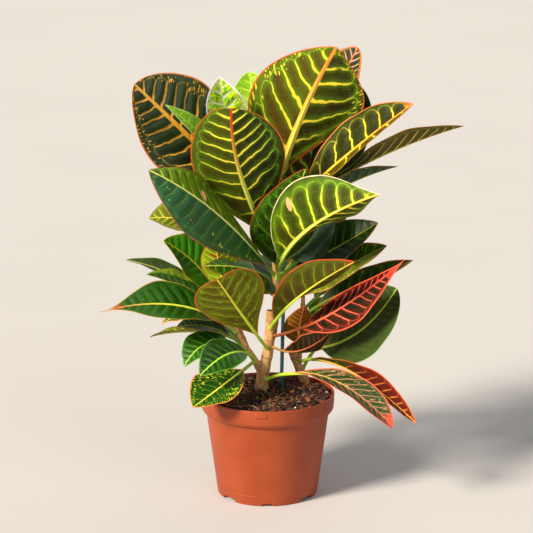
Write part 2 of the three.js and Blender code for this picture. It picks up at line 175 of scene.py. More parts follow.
@dataclass
class Skin:
    """A mesh in the making: points in millimetres, faces, and numbers for each point."""

    points: Array
    faces: list[Array]
    values: dict[str, Array] = field(default_factory=dict)

    def joined(self, other: "Skin") -> "Skin":
        """This skin and another one in one mesh. Values that one of them lacks are 0 there."""
        shift = len(self.points)
        faces = [*self.faces, *(part + shift for part in other.faces)]
        names = {**self.values, **other.values}
        values = {
            name: np.concatenate(
                [
                    self.values.get(name, np.zeros(shift)),
                    other.values.get(name, np.zeros(len(other.points))),
                ]
            )
            for name in names
        }
        return Skin(np.concatenate([self.points, other.points]), faces, values)

    def built(self, name: str, crease: float = 50.0) -> bpy.types.Object:
        """The skin as an object at the origin, in metres.

        Args:
            name: The object's name.
            crease: The angle in degrees past which an edge is sharp.

        Returns:
            The new object, linked to the scene.
        """
        mesh = bpy.data.meshes.new(name)
        faces = [face for part in self.faces for face in part.tolist()]
        mesh.from_pydata((self.points * MM).tolist(), [], faces)
        for key, numbers in self.values.items():
            attribute = mesh.attributes.new(key, "FLOAT", "POINT")
            attribute.data.foreach_set("value", np.ascontiguousarray(numbers, dtype=np.float32))
        mesh.polygons.foreach_set("use_smooth", np.ones(len(mesh.polygons), dtype=bool))
        mesh.set_sharp_from_angle(angle=np.radians(crease))
        mesh.validate()
        mesh.update()
        piece = bpy.data.objects.new(name, mesh)
        bpy.context.scene.collection.objects.link(piece)
        return piece


# Shader maths


def srgb(code: str) -> Colour:
    """The linear colour of a six-digit code such as "c8642c"."""
    parts = np.array([int(code[k : k + 2], 16) for k in (0, 2, 4)]) / 255.0
    linear = np.where(parts <= 0.04045, parts / 12.92, ((parts + 0.055) / 1.055) ** 2.4)
    return (float(linear[0]), float(linear[1]), float(linear[2]), 1.0)


class Signal:
    """A node's output, with operators that add Math nodes."""

    def __init__(self, paint: "Paint", socket: bpy.types.NodeSocket) -> None:
        """Wraps socket, which belongs to a node of paint."""
        self.paint = paint
        self.socket = socket

    def __add__(self, other: "Signal | float") -> "Signal":
        """The sum."""
        return self.paint.maths("ADD", self, other)

    __radd__ = __add__

    def __sub__(self, other: "Signal | float") -> "Signal":
        """The difference."""
        return self.paint.maths("SUBTRACT", self, other)

    def __rsub__(self, other: "Signal | float") -> "Signal":
        """The difference, with this signal taken away."""
        return self.paint.maths("SUBTRACT", other, self)

    def __mul__(self, other: "Signal | float") -> "Signal":
        """The product."""
        return self.paint.maths("MULTIPLY", self, other)

    __rmul__ = __mul__

    def __truediv__(self, other: "Signal | float") -> "Signal":
        """The quotient."""
        return self.paint.maths("DIVIDE", self, other)

    def __abs__(self) -> "Signal":
        """The size without its sign."""
        return self.paint.maths("ABSOLUTE", self)

    def __gt__(self, other: "Signal | float") -> "Signal":
        """1 where this is the larger, and 0 elsewhere."""
        return self.paint.maths("GREATER_THAN", self, other)

    def fraction(self) -> "Signal":
        """What is left above the whole number below."""
        return self.paint.maths("FRACT", self)

    def whole(self) -> "Signal":
        """The whole number below."""
        return self.paint.maths("FLOOR", self)

    def at_least(self, other: "Signal | float") -> "Signal":
        """The larger of the two."""
        return self.paint.maths("MAXIMUM", self, other)


class Paint:
    """A material whose nodes are added one by one."""

    def __init__(self, name: str) -> None:
        """Starts an empty material called name."""
        self.material = bpy.data.materials.new(name)
        self.material.use_nodes = True
        self.tree = self.material.node_tree
        self.tree.nodes.clear()

    def node(
        self,
        kind: str,
        settings: dict[str, object] | None = None,
        sockets: dict[int | str, object] | None = None,
    ) -> bpy.types.Node:
        """Adds a node.

        Args:
            kind: The node's type.
            settings: The node's own options, and under "stops" a ramp's places and colours.
            sockets: A value, or a signal to link, for each named or numbered input.

        Returns:
            The new node.
        """
        node = self.tree.nodes.new(kind)
        for name, value in (settings or {}).items():
            if name != "stops":
                setattr(node, name, value)
                continue
            elements = node.color_ramp.elements
            while len(elements) < len(value):
                elements.new(0.5)
            for element, (place, colour) in zip(elements, value):
                element.position = place
                element.color = colour
        for key, value in (sockets or {}).items():
            if isinstance(value, Signal):
                self.tree.links.new(value.socket, node.inputs[key])
            else:
                node.inputs[key].default_value = value
        return node

    def signal(self, node: bpy.types.Node, output: int | str = 0) -> Signal:
        """A node's output as a signal."""
        return Signal(self, node.outputs[output])

    def maths(self, operation: str, *terms: Signal | float) -> Signal:
        """A Math node on one, two or three terms."""
        return self.signal(self.node("ShaderNodeMath", {"operation": operation}, dict(enumerate(terms))))

    def value(self, name: str) -> Signal:
        """A number that the mesh holds for each point."""
        return self.signal(self.node("ShaderNodeAttribute", {"attribute_name": name}), "Fac")

    def vector(self, x: Signal | float, y: Signal | float, z: Signal | float) -> Signal:
        """Three numbers as a vector."""
        return self.signal(self.node("ShaderNodeCombineXYZ", None, {0: x, 1: y, 2: z}))

    def place(self, scale: Vec = (1.0, 1.0, 1.0)) -> Signal:
        """The point on the object in metres, each axis times its scale."""
        source = self.signal(self.node("ShaderNodeTexCoord"), "Object")
        return self.signal(self.node("ShaderNodeMapping", None, {"Vector": source, "Scale": scale}))

    def noise(self, where: Signal, scale: float, detail: float = 2.0, roughness: float = 0.5) -> Signal:
        """Soft noise from 0 to 1."""
        sockets = {"Vector": where, "Scale": scale, "Detail": detail, "Roughness": roughness}
        return self.signal(self.node("ShaderNodeTexNoise", None, sockets))

    def cells(self, where: Signal, scale: float, feature: str = "F1") -> Signal:
        """The distance to a cell's centre, or to its edge."""
        node = self.node("ShaderNodeTexVoronoi", {"feature": feature}, {"Vector": where, "Scale": scale})
        return self.signal(node, "Distance")

    def chance(self, number: Signal) -> Signal:
        """A random value from 0 to 1 that is the same for the same number."""
        node = self.node("ShaderNodeTexWhiteNoise", {"noise_dimensions": "1D"}, {"W": number})
        return self.signal(node)

    def eased(self, low: Signal | float, high: Signal | float, number: Signal) -> Signal:
        """0 up to low and 1 from high, with a smooth rise between them."""
        settings = {"interpolation_type": "SMOOTHSTEP"}
        return self.signal(self.node("ShaderNodeMapRange", settings, {0: number, 1: low, 2: high}))

    def mixed(self, first: Signal | Colour, second: Signal | Colour, share: Signal | float) -> Signal:
        """The first colour where share is 0 and the second where it is 1."""
        node = self.node("ShaderNodeMix", {"data_type": "RGBA"}, {0: share, 6: first, 7: second})
        return self.signal(node, 2)

    def ramp(self, number: Signal, tones: dict[float, str]) -> Signal:
        """A colour for each number, between the colour codes at some numbers."""
        stops = [(place, srgb(code)) for place, code in tones.items()]
        return self.signal(self.node("ShaderNodeValToRGB", {"stops": stops}, {0: number}))

    def bumped(self, height: Signal, distance: float, strength: float = 1.0) -> Signal:
        """A normal that is tilted as if the surface rose by height times distance, in metres."""
        sockets = {"Height": height, "Distance": distance, "Strength": strength}
        return self.signal(self.node("ShaderNodeBump", None, sockets))

    def finished(self, **sockets: Signal | Colour | float) -> bpy.types.Material:
        """Ends the material in one Principled shader.

        Args:
            sockets: What its inputs are given, with _ for a space in their names.

        Returns:
            The material.
        """
        named = {name.replace("_", " "): value for name, value in sockets.items()}
        shader = self.node("ShaderNodeBsdfPrincipled", None, named)
        self.node("ShaderNodeOutputMaterial", None, {"Surface": self.signal(shader)})
        return self.material


# Finishes of the leaves


class LeafPaint(Paint):
    """A leaf's material in the making, with what the mesh holds and the noise that all its layers share.

    across and along are millimetres from the midrib and from the leaf's base, and margin is how far off
    the margin is. progress runs from 0 at the blade's base to 1 at its tip, and spread from 0 at the
    midrib to 1 at the margin. right is 1 in the half where across is above 0. That is the right half, seen
    from above with the tip up. count numbers the laterals, and pitch is how far they are apart.
    """

    def __init__(self, name: str) -> None:
        """Starts a leaf's material called name."""
        super().__init__(name)
        self.across, self.margin = self.value("across"), self.value("margin")
        self.along, self.progress = self.value("along"), self.value("progress")
        self.upper, self.rib, self.seed = self.value("upper"), self.value("rib"), self.value("seed")
        self.pitch, self.count = self.value("pitch"), self.value("vein")
        self.right = self.across > 0.0
        self.reach = abs(self.across)
        self.spread = self.reach / (self.reach + self.margin + 0.01)
        self.where = self.vector(self.across, self.along, self.seed * 50.0)
        self.broad = self.noise(self.where, 0.022, 3.0)
        self.medium = self.noise(self.where, 0.09, 3.0)
        self.fine = self.noise(self.where, 0.6, 3.0, 0.6)


@dataclass(frozen=True)
class Laterals:
    """A leaf's side veins.

    lines is 1 on them, distance is how far the nearest is, cell is how far the middle between two is, and
    share is how far they stand out in a half.
    """

    lines: Signal
    distance: Signal
    cell: Signal
    share: Signal


@dataclass(frozen=True)
class LeafFinish:
    """How a leaf is coloured. Widths are in millimetres, shares run from 0 to 1.

    half and half_shade, if given, are the ground of the right half. On some finishes that is the leaf's own
    second tone; on TALL and FRONT it is painted light, a lighter copy of the ground for the half that faces
    the light, and the left half's darker ground is painted shade. left_veins and right_veins are how far the
    laterals stand out in each half. blotch_at is a patch's place across and along, and its size.
    """

    name: str
    ground: str
    shade: str
    veins: str
    rib: str
    rib_tip: str
    edge: str
    petiole: str = "9cb838"
    vein_ends: str = "b4c830"
    arches: float = 0.4
    arch_reach: float = 0.86
    halo: str = "4c6a10"
    halo_share: float = 0.5
    net: str = "4d8010"
    net_share: float = 0.25
    depth: float = 0.72
    fleck: str = "e8d838"
    fleck_share: float = 0.0
    fleck_rim: float = 0.3
    splash: str = "d0d840"
    splash_share: float = 0.0
    half: str = ""
    half_shade: str = ""
    left_veins: float = 1.0
    right_veins: float = 1.0
    rib_width: float = 5.0
    vein_width: float = 2.0
    vein_reach: float = 0.85
    edge_width: float = 1.3
    roughness: float = 0.4
    gloss: float = 0.14
    base: str = ""
    base_end: float = 0.4
    tip: str = ""
    tip_start: float = 0.88
    blotch: str = ""
    blotch_at: tuple[float, float, float] = (0.0, 0.0, 1.0)

    def laterals(self, paint: LeafPaint) -> Laterals:
        """The side veins.

        They are lines in the phase that the mesh holds, which counts them from the base up. Between two of
        them lies a cell that ends in a half circle towards the margin, as wide as the laterals are apart,
        so a lateral splits near its end and its arms meet the neighbours' in arches. Noise breaks the
        lines, and each one stops at a length of its own.

        Args:
            paint: The leaf's material.

        Returns:
            What the other layers need to know of them.
        """
        medium, pitch, right, spread = paint.medium, paint.pitch, paint.right, paint.spread
        phase = paint.count + right * 0.5 + (medium - 0.5) * 0.2 + (paint.broad - 0.5) * 0.9
        chance = paint.chance(phase.whole() + right * 37.0 + paint.seed * 91.0)
        aside = (0.5 - abs(phase.fraction() - 0.5)) * pitch
        past = (paint.reach - (paint.reach + paint.margin) * self.arch_reach + pitch * 0.5).at_least(0.0)
        cell = paint.maths("SQRT", aside * aside + past * past)
        distance = abs(cell - pitch * 0.5)
        bend = paint.eased(0.0, pitch * 0.3, past)
        width = (1.0 - spread * 0.5) * (1.0 - bend * 0.5) * self.vein_width * 0.5
        line = 1.0 - paint.eased(width * 0.7, width + 0.35, distance)
        stop = chance * 0.28 + (self.vein_reach - 0.22)
        unbroken = paint.eased(0.3, 0.42, medium + chance * 0.22)
        whole = unbroken * (1.0 - paint.eased(stop, stop + 0.16, spread))
        share = right * (self.right_veins - self.left_veins) + self.left_veins
        arch = bend * self.arches * paint.eased(0.3, 0.66, medium)
        lines = line * (whole * (1.0 - bend * 0.6) * (chance * 0.3 + 0.75)).at_least(arch) * share
        return Laterals(lines, distance, cell, share)

    def between_veins(self, paint: LeafPaint, laterals: Laterals, net: Signal) -> Signal:
        """The ground, which darkens in a cell's middle and takes the halo's colour beside the laterals.

        Args:
            paint: The leaf's material.
            laterals: Its side veins.
            net: 1 on the fine net of veins between them.

        Returns:
            The ground's colour.
        """
        medium = paint.medium
        middle = (0.6 - laterals.cell / paint.pitch) * 0.3
        deep = paint.eased(0.42, 0.8, paint.broad * 0.75 + medium * 0.2 + middle)
        ground = paint.mixed(srgb(self.ground), srgb(self.shade), deep)
        # On TALL and FRONT the right half's lighter ground is painted light, and the left half's darker one
        # painted shade.
        if self.half:
            half = paint.mixed(srgb(self.half), srgb(self.half_shade), deep)
            ground = paint.mixed(ground, half, paint.right)
        near = 1.0 - paint.eased(0.0, paint.pitch * 0.36, laterals.distance)
        halo = near * (medium + 0.3) * laterals.share * self.halo_share
        ground = paint.mixed(ground, srgb(self.halo), halo)
        ground = paint.mixed(ground, srgb(self.net), net * paint.eased(0.35, 0.6, medium) * self.net_share)
        ground = paint.mixed(srgb("000000"), ground, self.depth)
        if self.base:
            low, high = self.base_end - 0.15, self.base_end + 0.15
            start = 1.0 - paint.eased(low, high, paint.progress + (medium - 0.5) * 0.4)
            ground = paint.mixed(ground, srgb(self.base), start)
        return ground

    def speckled(self, paint: LeafPaint, ground: Signal) -> Signal:
        """The ground with its splashes and flecks.

        Flecks are cells and splashes are noise, both stretched along the laterals and cut off at a level.

        Args:
            paint: The leaf's material.
            ground: The ground's colour.

        Returns:
            The new colour.
        """
        turn = paint.seed * 31.0 + paint.right * 7.0
        streak = paint.vector(paint.count * 2.6 + (paint.fine - 0.5) * 0.5, paint.spread * 3.2, turn)
        if self.splash_share > 0.0:
            level = 0.74 - self.splash_share * 0.3
            patch = paint.eased(level, level + 0.05, paint.noise(streak, 1.4, 4.0, 0.62))
            ground = paint.mixed(ground, srgb(self.splash), patch)
        if self.fleck_share > 0.0:
            level = 0.62 - self.fleck_share * 0.5
            crowd = paint.noise(paint.where, 0.05, 2.0) + (paint.spread - 0.6) * self.fleck_rim
            size = paint.eased(level, level + 0.3, crowd) * 0.34
            dots = 1.0 - paint.eased(size - 0.1, size, paint.cells(streak, 2.2))
            ground = paint.mixed(ground, srgb(self.fleck), dots)
        return ground

    def blotched(self, paint: LeafPaint, colour: Signal) -> Signal:
        """The colour with one dry patch, a slanted oval with an uneven edge."""
        at_across, at_along, size = self.blotch_at
        outward = paint.across - at_across
        slant = paint.along - at_along - outward * (0.3 if at_across > 0 else -0.3)
        away = paint.maths("POWER", outward / (size * 1.5), 2.0)
        away = away + paint.maths("POWER", slant / (size * 0.7), 2.0)
        inside = 1.0 - paint.eased(0.6, 0.75, away + (paint.medium - 0.5) * 1.2)
        return paint.mixed(colour, srgb(self.blotch), inside)

    def framed(self, paint: LeafPaint, colour: Signal) -> Signal:
        """The colour with the midrib, the petiole and the coloured margin on it."""
        half = (1.0 - paint.progress * 0.68) * self.rib_width * 0.5
        band = 1.0 - paint.eased(half * 0.72, half + 0.3, paint.reach + (paint.fine - 0.5) * 0.6)
        stem = paint.mixed(srgb(self.rib), srgb(self.rib_tip), paint.eased(0.25, 0.95, paint.progress))
        stem = paint.mixed(srgb(self.petiole), stem, paint.eased(-0.02, 0.3, paint.progress))
        colour = paint.mixed(colour, stem, band.at_least(paint.rib))
        inset = paint.margin + (paint.medium - 0.5) * 1.6
        rim = 1.0 - paint.eased(self.edge_width * 0.5, self.edge_width + 0.3, inset)
        return paint.mixed(colour, srgb(self.edge), rim * (1.0 - paint.rib))

    def material(self) -> bpy.types.Material:
        """Builds the leaf's material, layer on layer from the ground up.

        Returns:
            The material.
        """
        paint = LeafPaint(f"leaf_{self.name}")
        laterals = self.laterals(paint)
        net = 1.0 - paint.eased(0.0, 0.16, paint.cells(paint.where, 0.34, "DISTANCE_TO_EDGE"))
        ground = self.speckled(paint, self.between_veins(paint, laterals, net))
        lines = paint.mixed(srgb(self.veins), srgb(self.vein_ends), paint.eased(0.3, 0.85, paint.spread))
        colour = paint.mixed(ground, lines, laterals.lines)
        if self.blotch:
            colour = self.blotched(paint, colour)
        if self.tip:
            place = paint.progress + (paint.medium - 0.5) * 0.25
            end = paint.eased(self.tip_start, self.tip_start + 0.1, place)
            colour = paint.mixed(colour, srgb(self.tip), end * 0.85)
        colour = self.framed(paint, colour)
        raised = laterals.lines * 0.8 + net * 0.25
        relief = raised * (1.0 - paint.upper * 2.0) + paint.fine * 0.12
        rough = (1.0 - paint.upper) * 0.16 + paint.fine * 0.14 + (self.roughness - 0.06)
        return paint.finished(
            Base_Color=colour,
            Roughness=rough,
            Normal=paint.bumped(relief, 0.0005, 0.7),
            Specular_IOR_Level=self.gloss,
        )


class Foliage(Enum):
    """The finishes that the leaves have."""

    # Painted light and shade: half and half_shade make the right half a lighter copy of the left half's
    # ground.
    TALL = LeafFinish(
        "tall", "4c5008", "2c1c04", "ffe23c", "ffe25c", "f49838", "d85c26", vein_ends="c4dc38",
        arches=0.3, halo="6c9c14", halo_share=0.65, net="7cae20", half="68740e", half_shade="5c360a",
        rib_width=11.5, vein_width=4.0, vein_reach=0.92, edge_width=2.0, petiole="c4d44c",
        fleck="e8d838", fleck_share=0.25, fleck_rim=1.2,
    )
    # Painted light and shade: half and half_shade make the right half a lighter copy of the darker left
    # half's ground.
    FRONT = LeafFinish(
        "front", "36400a", "1e1604", "f8e23c", "dce45c", "c8401c", "cc5424", vein_ends="94bc28",
        arches=0.6, halo="5c8410", net="78a81c", half="566410", half_shade="402606", rib_width=8.0,
        vein_width=2.8, vein_reach=0.9, edge_width=1.8, petiole="b8dc44",
    )
    NIGHT = LeafFinish(
        "night", "3e5230", "2e3c22", "ffb43a", "ffae34", "ffb83c", "f08430", vein_ends="ffcc44",
        arches=0.2, arch_reach=0.8, halo="34501e", halo_share=0.3, net="34562c", net_share=0.15,
        fleck="ffb43c", fleck_share=0.4, fleck_rim=1.2, rib_width=10.5, vein_width=3.4, edge_width=2.2,
        roughness=0.3, gloss=0.45, base="5c2a12", base_end=0.26,
    )
    ASH = LeafFinish(
        "ash", "484a38", "343024", "e0a080", "f0843c", "f0843c", "ec7830", halo="746048", halo_share=0.3,
        net="6c6648", net_share=0.1, fleck="f0a880", fleck_share=0.5, rib_width=4.0, edge_width=3.0,
        tip="f08038", tip_start=0.97,
    )
    YOUNG = LeafFinish(
        "young", "2c9c10", "7cd814", "fcffd0", "e8fc50", "f8ffc0", "ffffff", vein_ends="f4ffc8",
        arches=0.8, halo="ccf468", halo_share=0.9, net="dcf8a0", net_share=0.5, depth=1.0,
        splash="e8ff20", splash_share=0.85, rib_width=5.0, vein_width=3.0, edge_width=2.4,
        petiole="b4dc50", base="dcff18", base_end=0.5,
    )
    BUD = LeafFinish(
        "bud", "78c018", "b4ec38", "e0f858", "c8f044", "e4ff64", "d4f47c", halo="bcec48", halo_share=0.7,
        net="3c800c", net_share=0.6, depth=1.0, fleck="3c7c10", fleck_share=0.5, rib_width=3.4,
        vein_width=2.2, edge_width=1.2, petiole="b4dc50",
    )
    FOREST = LeafFinish(
        "forest", "184806", "0f2c04", "8cd020", "a8dc34", "b4e040", "5c9024", vein_ends="78b41c",
        arches=0.7, halo="2c6c0c", net="48a014", net_share=0.3, rib_width=4.0, vein_width=1.8,
        left_veins=0.2, right_veins=0.2, gloss=0.4, edge_width=1.6,
    )
    OLIVE_GREY = LeafFinish(
        "olive_grey", "30360a", "281c04", "fcd838", "ffcc38", "f89838", "d87834", vein_ends="d8cc38",
        arches=0.15, halo="5c6810", net="6c9018", half="645c10", half_shade="4c3006", rib_width=8.0,
        vein_width=3.0, vein_reach=0.9, edge_width=1.6, tip="e06c2c", tip_start=0.92, roughness=0.45,
    )
    RUSSET = LeafFinish(
        "russet", "746828", "5c4818", "e8d450", "d8c848", "d8b048", "c08450", vein_ends="ccb848",
        halo="74682c", halo_share=0.4, net="74782c", net_share=0.2, rib_width=4.5, vein_width=1.8,
        vein_reach=0.95, edge_width=1.4, roughness=0.5,
    )
    CREAM = LeafFinish(
        "cream", "405606", "463006", "fce83c", "e8f068", "f4d050", "f0d8a8", vein_ends="b8d83c",
        arches=0.25, halo="7ca814", halo_share=0.7, net="88bc24", rib_width=8.0, vein_width=3.4,
        vein_reach=0.92, edge_width=1.2, tip="d84c3c", tip_start=0.97, blotch="fcb07c",
        blotch_at=(38.0, 88.0, 6.5), petiole="c4e050",
    )
    NETTED = LeafFinish(
        "netted", "2c4c04", "243604", "7cbc20", "b4e040", "c4d448", "a04820", vein_ends="68a81c",
        arches=0.95, halo="44700c", net="6cb41c", net_share=0.5, rib_width=5.0, vein_width=1.6,
        left_veins=0.8, right_veins=0.8, edge_width=1.6, splash="4c7410", splash_share=0.5,
    )
    TWO_TONE = LeafFinish(
        "two_tone", "2c6838", "205428", "c4e848", "f0f498", "e0dc70", "a05830", vein_ends="a8d844",
        arches=0.9, halo="7cac24", halo_share=0.75, net="347028", net_share=0.15, fleck="ecf43c",
        fleck_share=0.3, half="68880e", half_shade="5c7810", left_veins=0.12, right_veins=1.0,
        rib_width=4.6, vein_width=2.0, vein_reach=1.0, edge_width=1.7, blotch="fcb484",
        blotch_at=(15.0, 152.0, 6.0), roughness=0.3, gloss=0.45,
    )
    PALE_OLIVE = LeafFinish(
        "pale_olive", "7e8620", "66700e", "ccd848", "e4e850", "e8e050", "6c4c1c", vein_ends="b4c038",
        halo="94a030", net="9cb430", depth=0.84, rib_width=3.2, vein_width=1.3, edge_width=1.1,
        roughness=0.5,
    )
    PATCHED = LeafFinish(
        "patched", "98ac10", "708c08", "d8e040", "e8ec50", "e8d048", "b05a20", vein_ends="c0d034",
        halo="b4cc20", net="b0cc28", depth=0.9, rib_width=4.0, vein_width=1.3, edge_width=1.4,
        blotch="a82c10", blotch_at=(5.0, 58.0, 3.4), roughness=0.5,
    )
    GOLD_EDGED = LeafFinish(
        "gold_edged", "44a01c", "307810", "b0e034", "f0f048", "f4dc40", "f0b838", vein_ends="84c420",
        arches=0.6, depth=0.9, halo="5cb020", halo_share=0.4, net="4c9c1c", fleck="f0e838",
        fleck_share=0.2, rib_width=3.6, vein_width=1.4, left_veins=0.35, right_veins=0.35, gloss=0.3,
        edge_width=1.4,
    )
    HALVED = LeafFinish(
        "halved", "28640e", "1c4c08", "9cc830", "f0f048", "e8dc48", "5c7c1c", arches=0.5, halo="4c8014",
        halo_share=0.3, net="4c8c18", half="8c9c20", half_shade="748418", depth=0.9, rib_width=3.4,
        vein_width=1.2, left_veins=0.4, right_veins=0.4, edge_width=1.0,
    )
    BOLD_RIB = LeafFinish(
        "bold_rib", "28600a", "1c4406", "84c42c", "f0fc50", "c07838", "b09038", vein_ends="5ca41c",
        arches=0.6, halo="387c10", halo_share=0.4, net="44881c", net_share=0.3, rib_width=4.6,
        vein_width=1.4, left_veins=0.18, right_veins=0.18, gloss=0.35, edge_width=1.1, tip="b44828",
        tip_start=0.84,
    )
    BROAD = LeafFinish(
        "broad", "465c20", "3a4a1c", "7c9c38", "d0e84c", "d8e048", "5c8428", vein_ends="487c20",
        arches=0.6, halo="405418", halo_share=0.4, net="4c6420", net_share=0.3, fleck="d8e048",
        fleck_share=0.1, rib_width=4.4, vein_width=1.3, left_veins=0.2, right_veins=0.2, edge_width=1.0,
        roughness=0.36, gloss=0.3,
    )
    SPLASHED = LeafFinish(
        "splashed", "1c600c", "185008", "dce838", "e8f048", "f0e040", "f09030", arches=0.1,
        halo="347010", net="408018", fleck="f0f43c", fleck_share=0.75, fleck_rim=1.0, splash="e4e830",
        splash_share=0.4, left_veins=0.12, right_veins=0.12, rib_width=3.6, vein_width=1.4,
        edge_width=1.4, gloss=0.35,
    )
    LEMON_OLIVE = LeafFinish(
        "lemon_olive", "72780a", "5c3c08", "c0cc30", "dcec40", "ecd844", "c85c24", vein_ends="a4b024",
        halo="90a414", halo_share=0.6, net="a0b820", net_share=0.3, depth=0.76, rib_width=5.0,
        vein_width=1.3, left_veins=0.45, right_veins=0.45, edge_width=2.0, petiole="bcd840",
        tip="b45820", tip_start=0.95, splash="90a418", splash_share=0.5, roughness=0.48,
    )
    CURLED = LeafFinish(
        "curled", "485008", "4c2806", "a4bc20", "d0e03c", "d4b838", "b84820", vein_ends="809818",
        halo="78860e", net="7c9818", rib_width=4.6, vein_width=1.3, left_veins=0.4, right_veins=0.4,
        edge_width=1.8, petiole="a8cc30", tip="8c3810", tip_start=0.88, splash="6c3008",
        splash_share=0.5, roughness=0.48,
    )
    DARK_GLOSS = LeafFinish(
        "dark_gloss", "244a08", "182f06", "74a030", "b4d43c", "c4b43c", "b46838", vein_ends="4c7818",
        arches=0.6, halo="346010", halo_share=0.4, net="3c7014", fleck="e8e038", fleck_share=0.35,
        rib_width=3.0, vein_width=1.2, left_veins=0.45, right_veins=0.45, edge_width=1.1, roughness=0.3,
        gloss=0.3,
    )
    RIMMED = LeafFinish(
        "rimmed", "34580e", "1c3008", "88a034", "b4c83c", "c8b040", "c87c38", vein_ends="6c8824",
        halo="4c6c18", halo_share=0.4, net="4c7c1c", fleck="e4d838", fleck_share=0.45, half="8c9c2c",
        half_shade="545c18", rib_width=3.0, vein_width=1.3, left_veins=0.4, right_veins=0.6,
        edge_width=1.6, roughness=0.34, gloss=0.3,
    )
    SLATE = LeafFinish(
        "slate", "5c7c58", "4c684c", "48604c", "68804c", "68804c", "303c24", vein_ends="3c5438",
        halo="3c5438", halo_share=0.2, net="405838", rib_width=2.8, vein_width=1.2, left_veins=0.4,
        right_veins=0.4, edge_width=0.9, petiole="7c9c38", roughness=0.5,
    )
    CORAL = LeafFinish(
        "coral", "480c06", "240c04", "f86c50", "ff7c50", "f84838", "fc6040", vein_ends="f8684c",
        arches=0.4, halo="8c2010", halo_share=0.5, net="c44c2c", net_share=0.25, half="2c2408",
        half_shade="1c1804", rib_width=3.6, vein_width=1.6, vein_reach=1.0, edge_width=1.8,
        petiole="8c4c24", tip="fc3c28", tip_start=0.84,
    )
    SHADOW = LeafFinish(
        "shadow", "2c3008", "3c2008", "d07444", "e07c48", "e86848", "f0744c", vein_ends="9c5c2c",
        halo="40440c", halo_share=0.3, net="4c4c14", rib_width=3.2, vein_width=1.3, left_veins=0.3,
        right_veins=0.3, gloss=0.3, edge_width=1.8, petiole="b88c3c",
    )
    EMBER = LeafFinish(
        "ember", "8c6c0c", "94441c", "f08c44", "f0a048", "f4784c", "e86c40", vein_ends="e09438",
        halo="a07c10", halo_share=0.4, net="a88820", depth=0.9, rib_width=3.4, vein_width=1.6,
        edge_width=1.6, petiole="c89c40",
    )
    BRIGHT = LeafFinish(
        "bright", "38780c", "245808", "94d430", "bce048", "b0dc40", "448c1c", vein_ends="74bc24",
        arches=0.6, halo="54a018", halo_share=0.5, net="64ac20", net_share=0.3, rib_width=3.4,
        vein_width=1.2, left_veins=0.25, right_veins=0.25, edge_width=1.0, roughness=0.3, gloss=0.5,
    )
    STRIPED = LeafFinish(
        "striped", "44603a", "2c4c1c", "f0a078", "e0c460", "f49468", "f8745c", vein_ends="f09c74",
        arches=0.3, halo="7c8844", halo_share=0.4, net="6c803c", fleck="f4a878", fleck_share=0.45,
        splash="e8a47c", splash_share=0.45, rib_width=4.4, vein_width=1.6, left_veins=0.6,
        right_veins=0.6, vein_reach=1.0, edge_width=2.2, petiole="b4dc38", tip="f4604c", tip_start=0.88,
    )
    MAROON = LeafFinish(
        "maroon", "641408", "4c1408", "f0a03c", "f8b03c", "f0a43c", "e8703c", vein_ends="e07c3c",
        arches=0.4, halo="8c2810", halo_share=0.4, net="9c4020", net_share=0.3, depth=0.86,
        rib_width=3.2, vein_width=1.4, left_veins=0.7, right_veins=0.7, edge_width=1.4, petiole="9cb838",
        base="345c14", base_end=0.4,
    )


# Stems


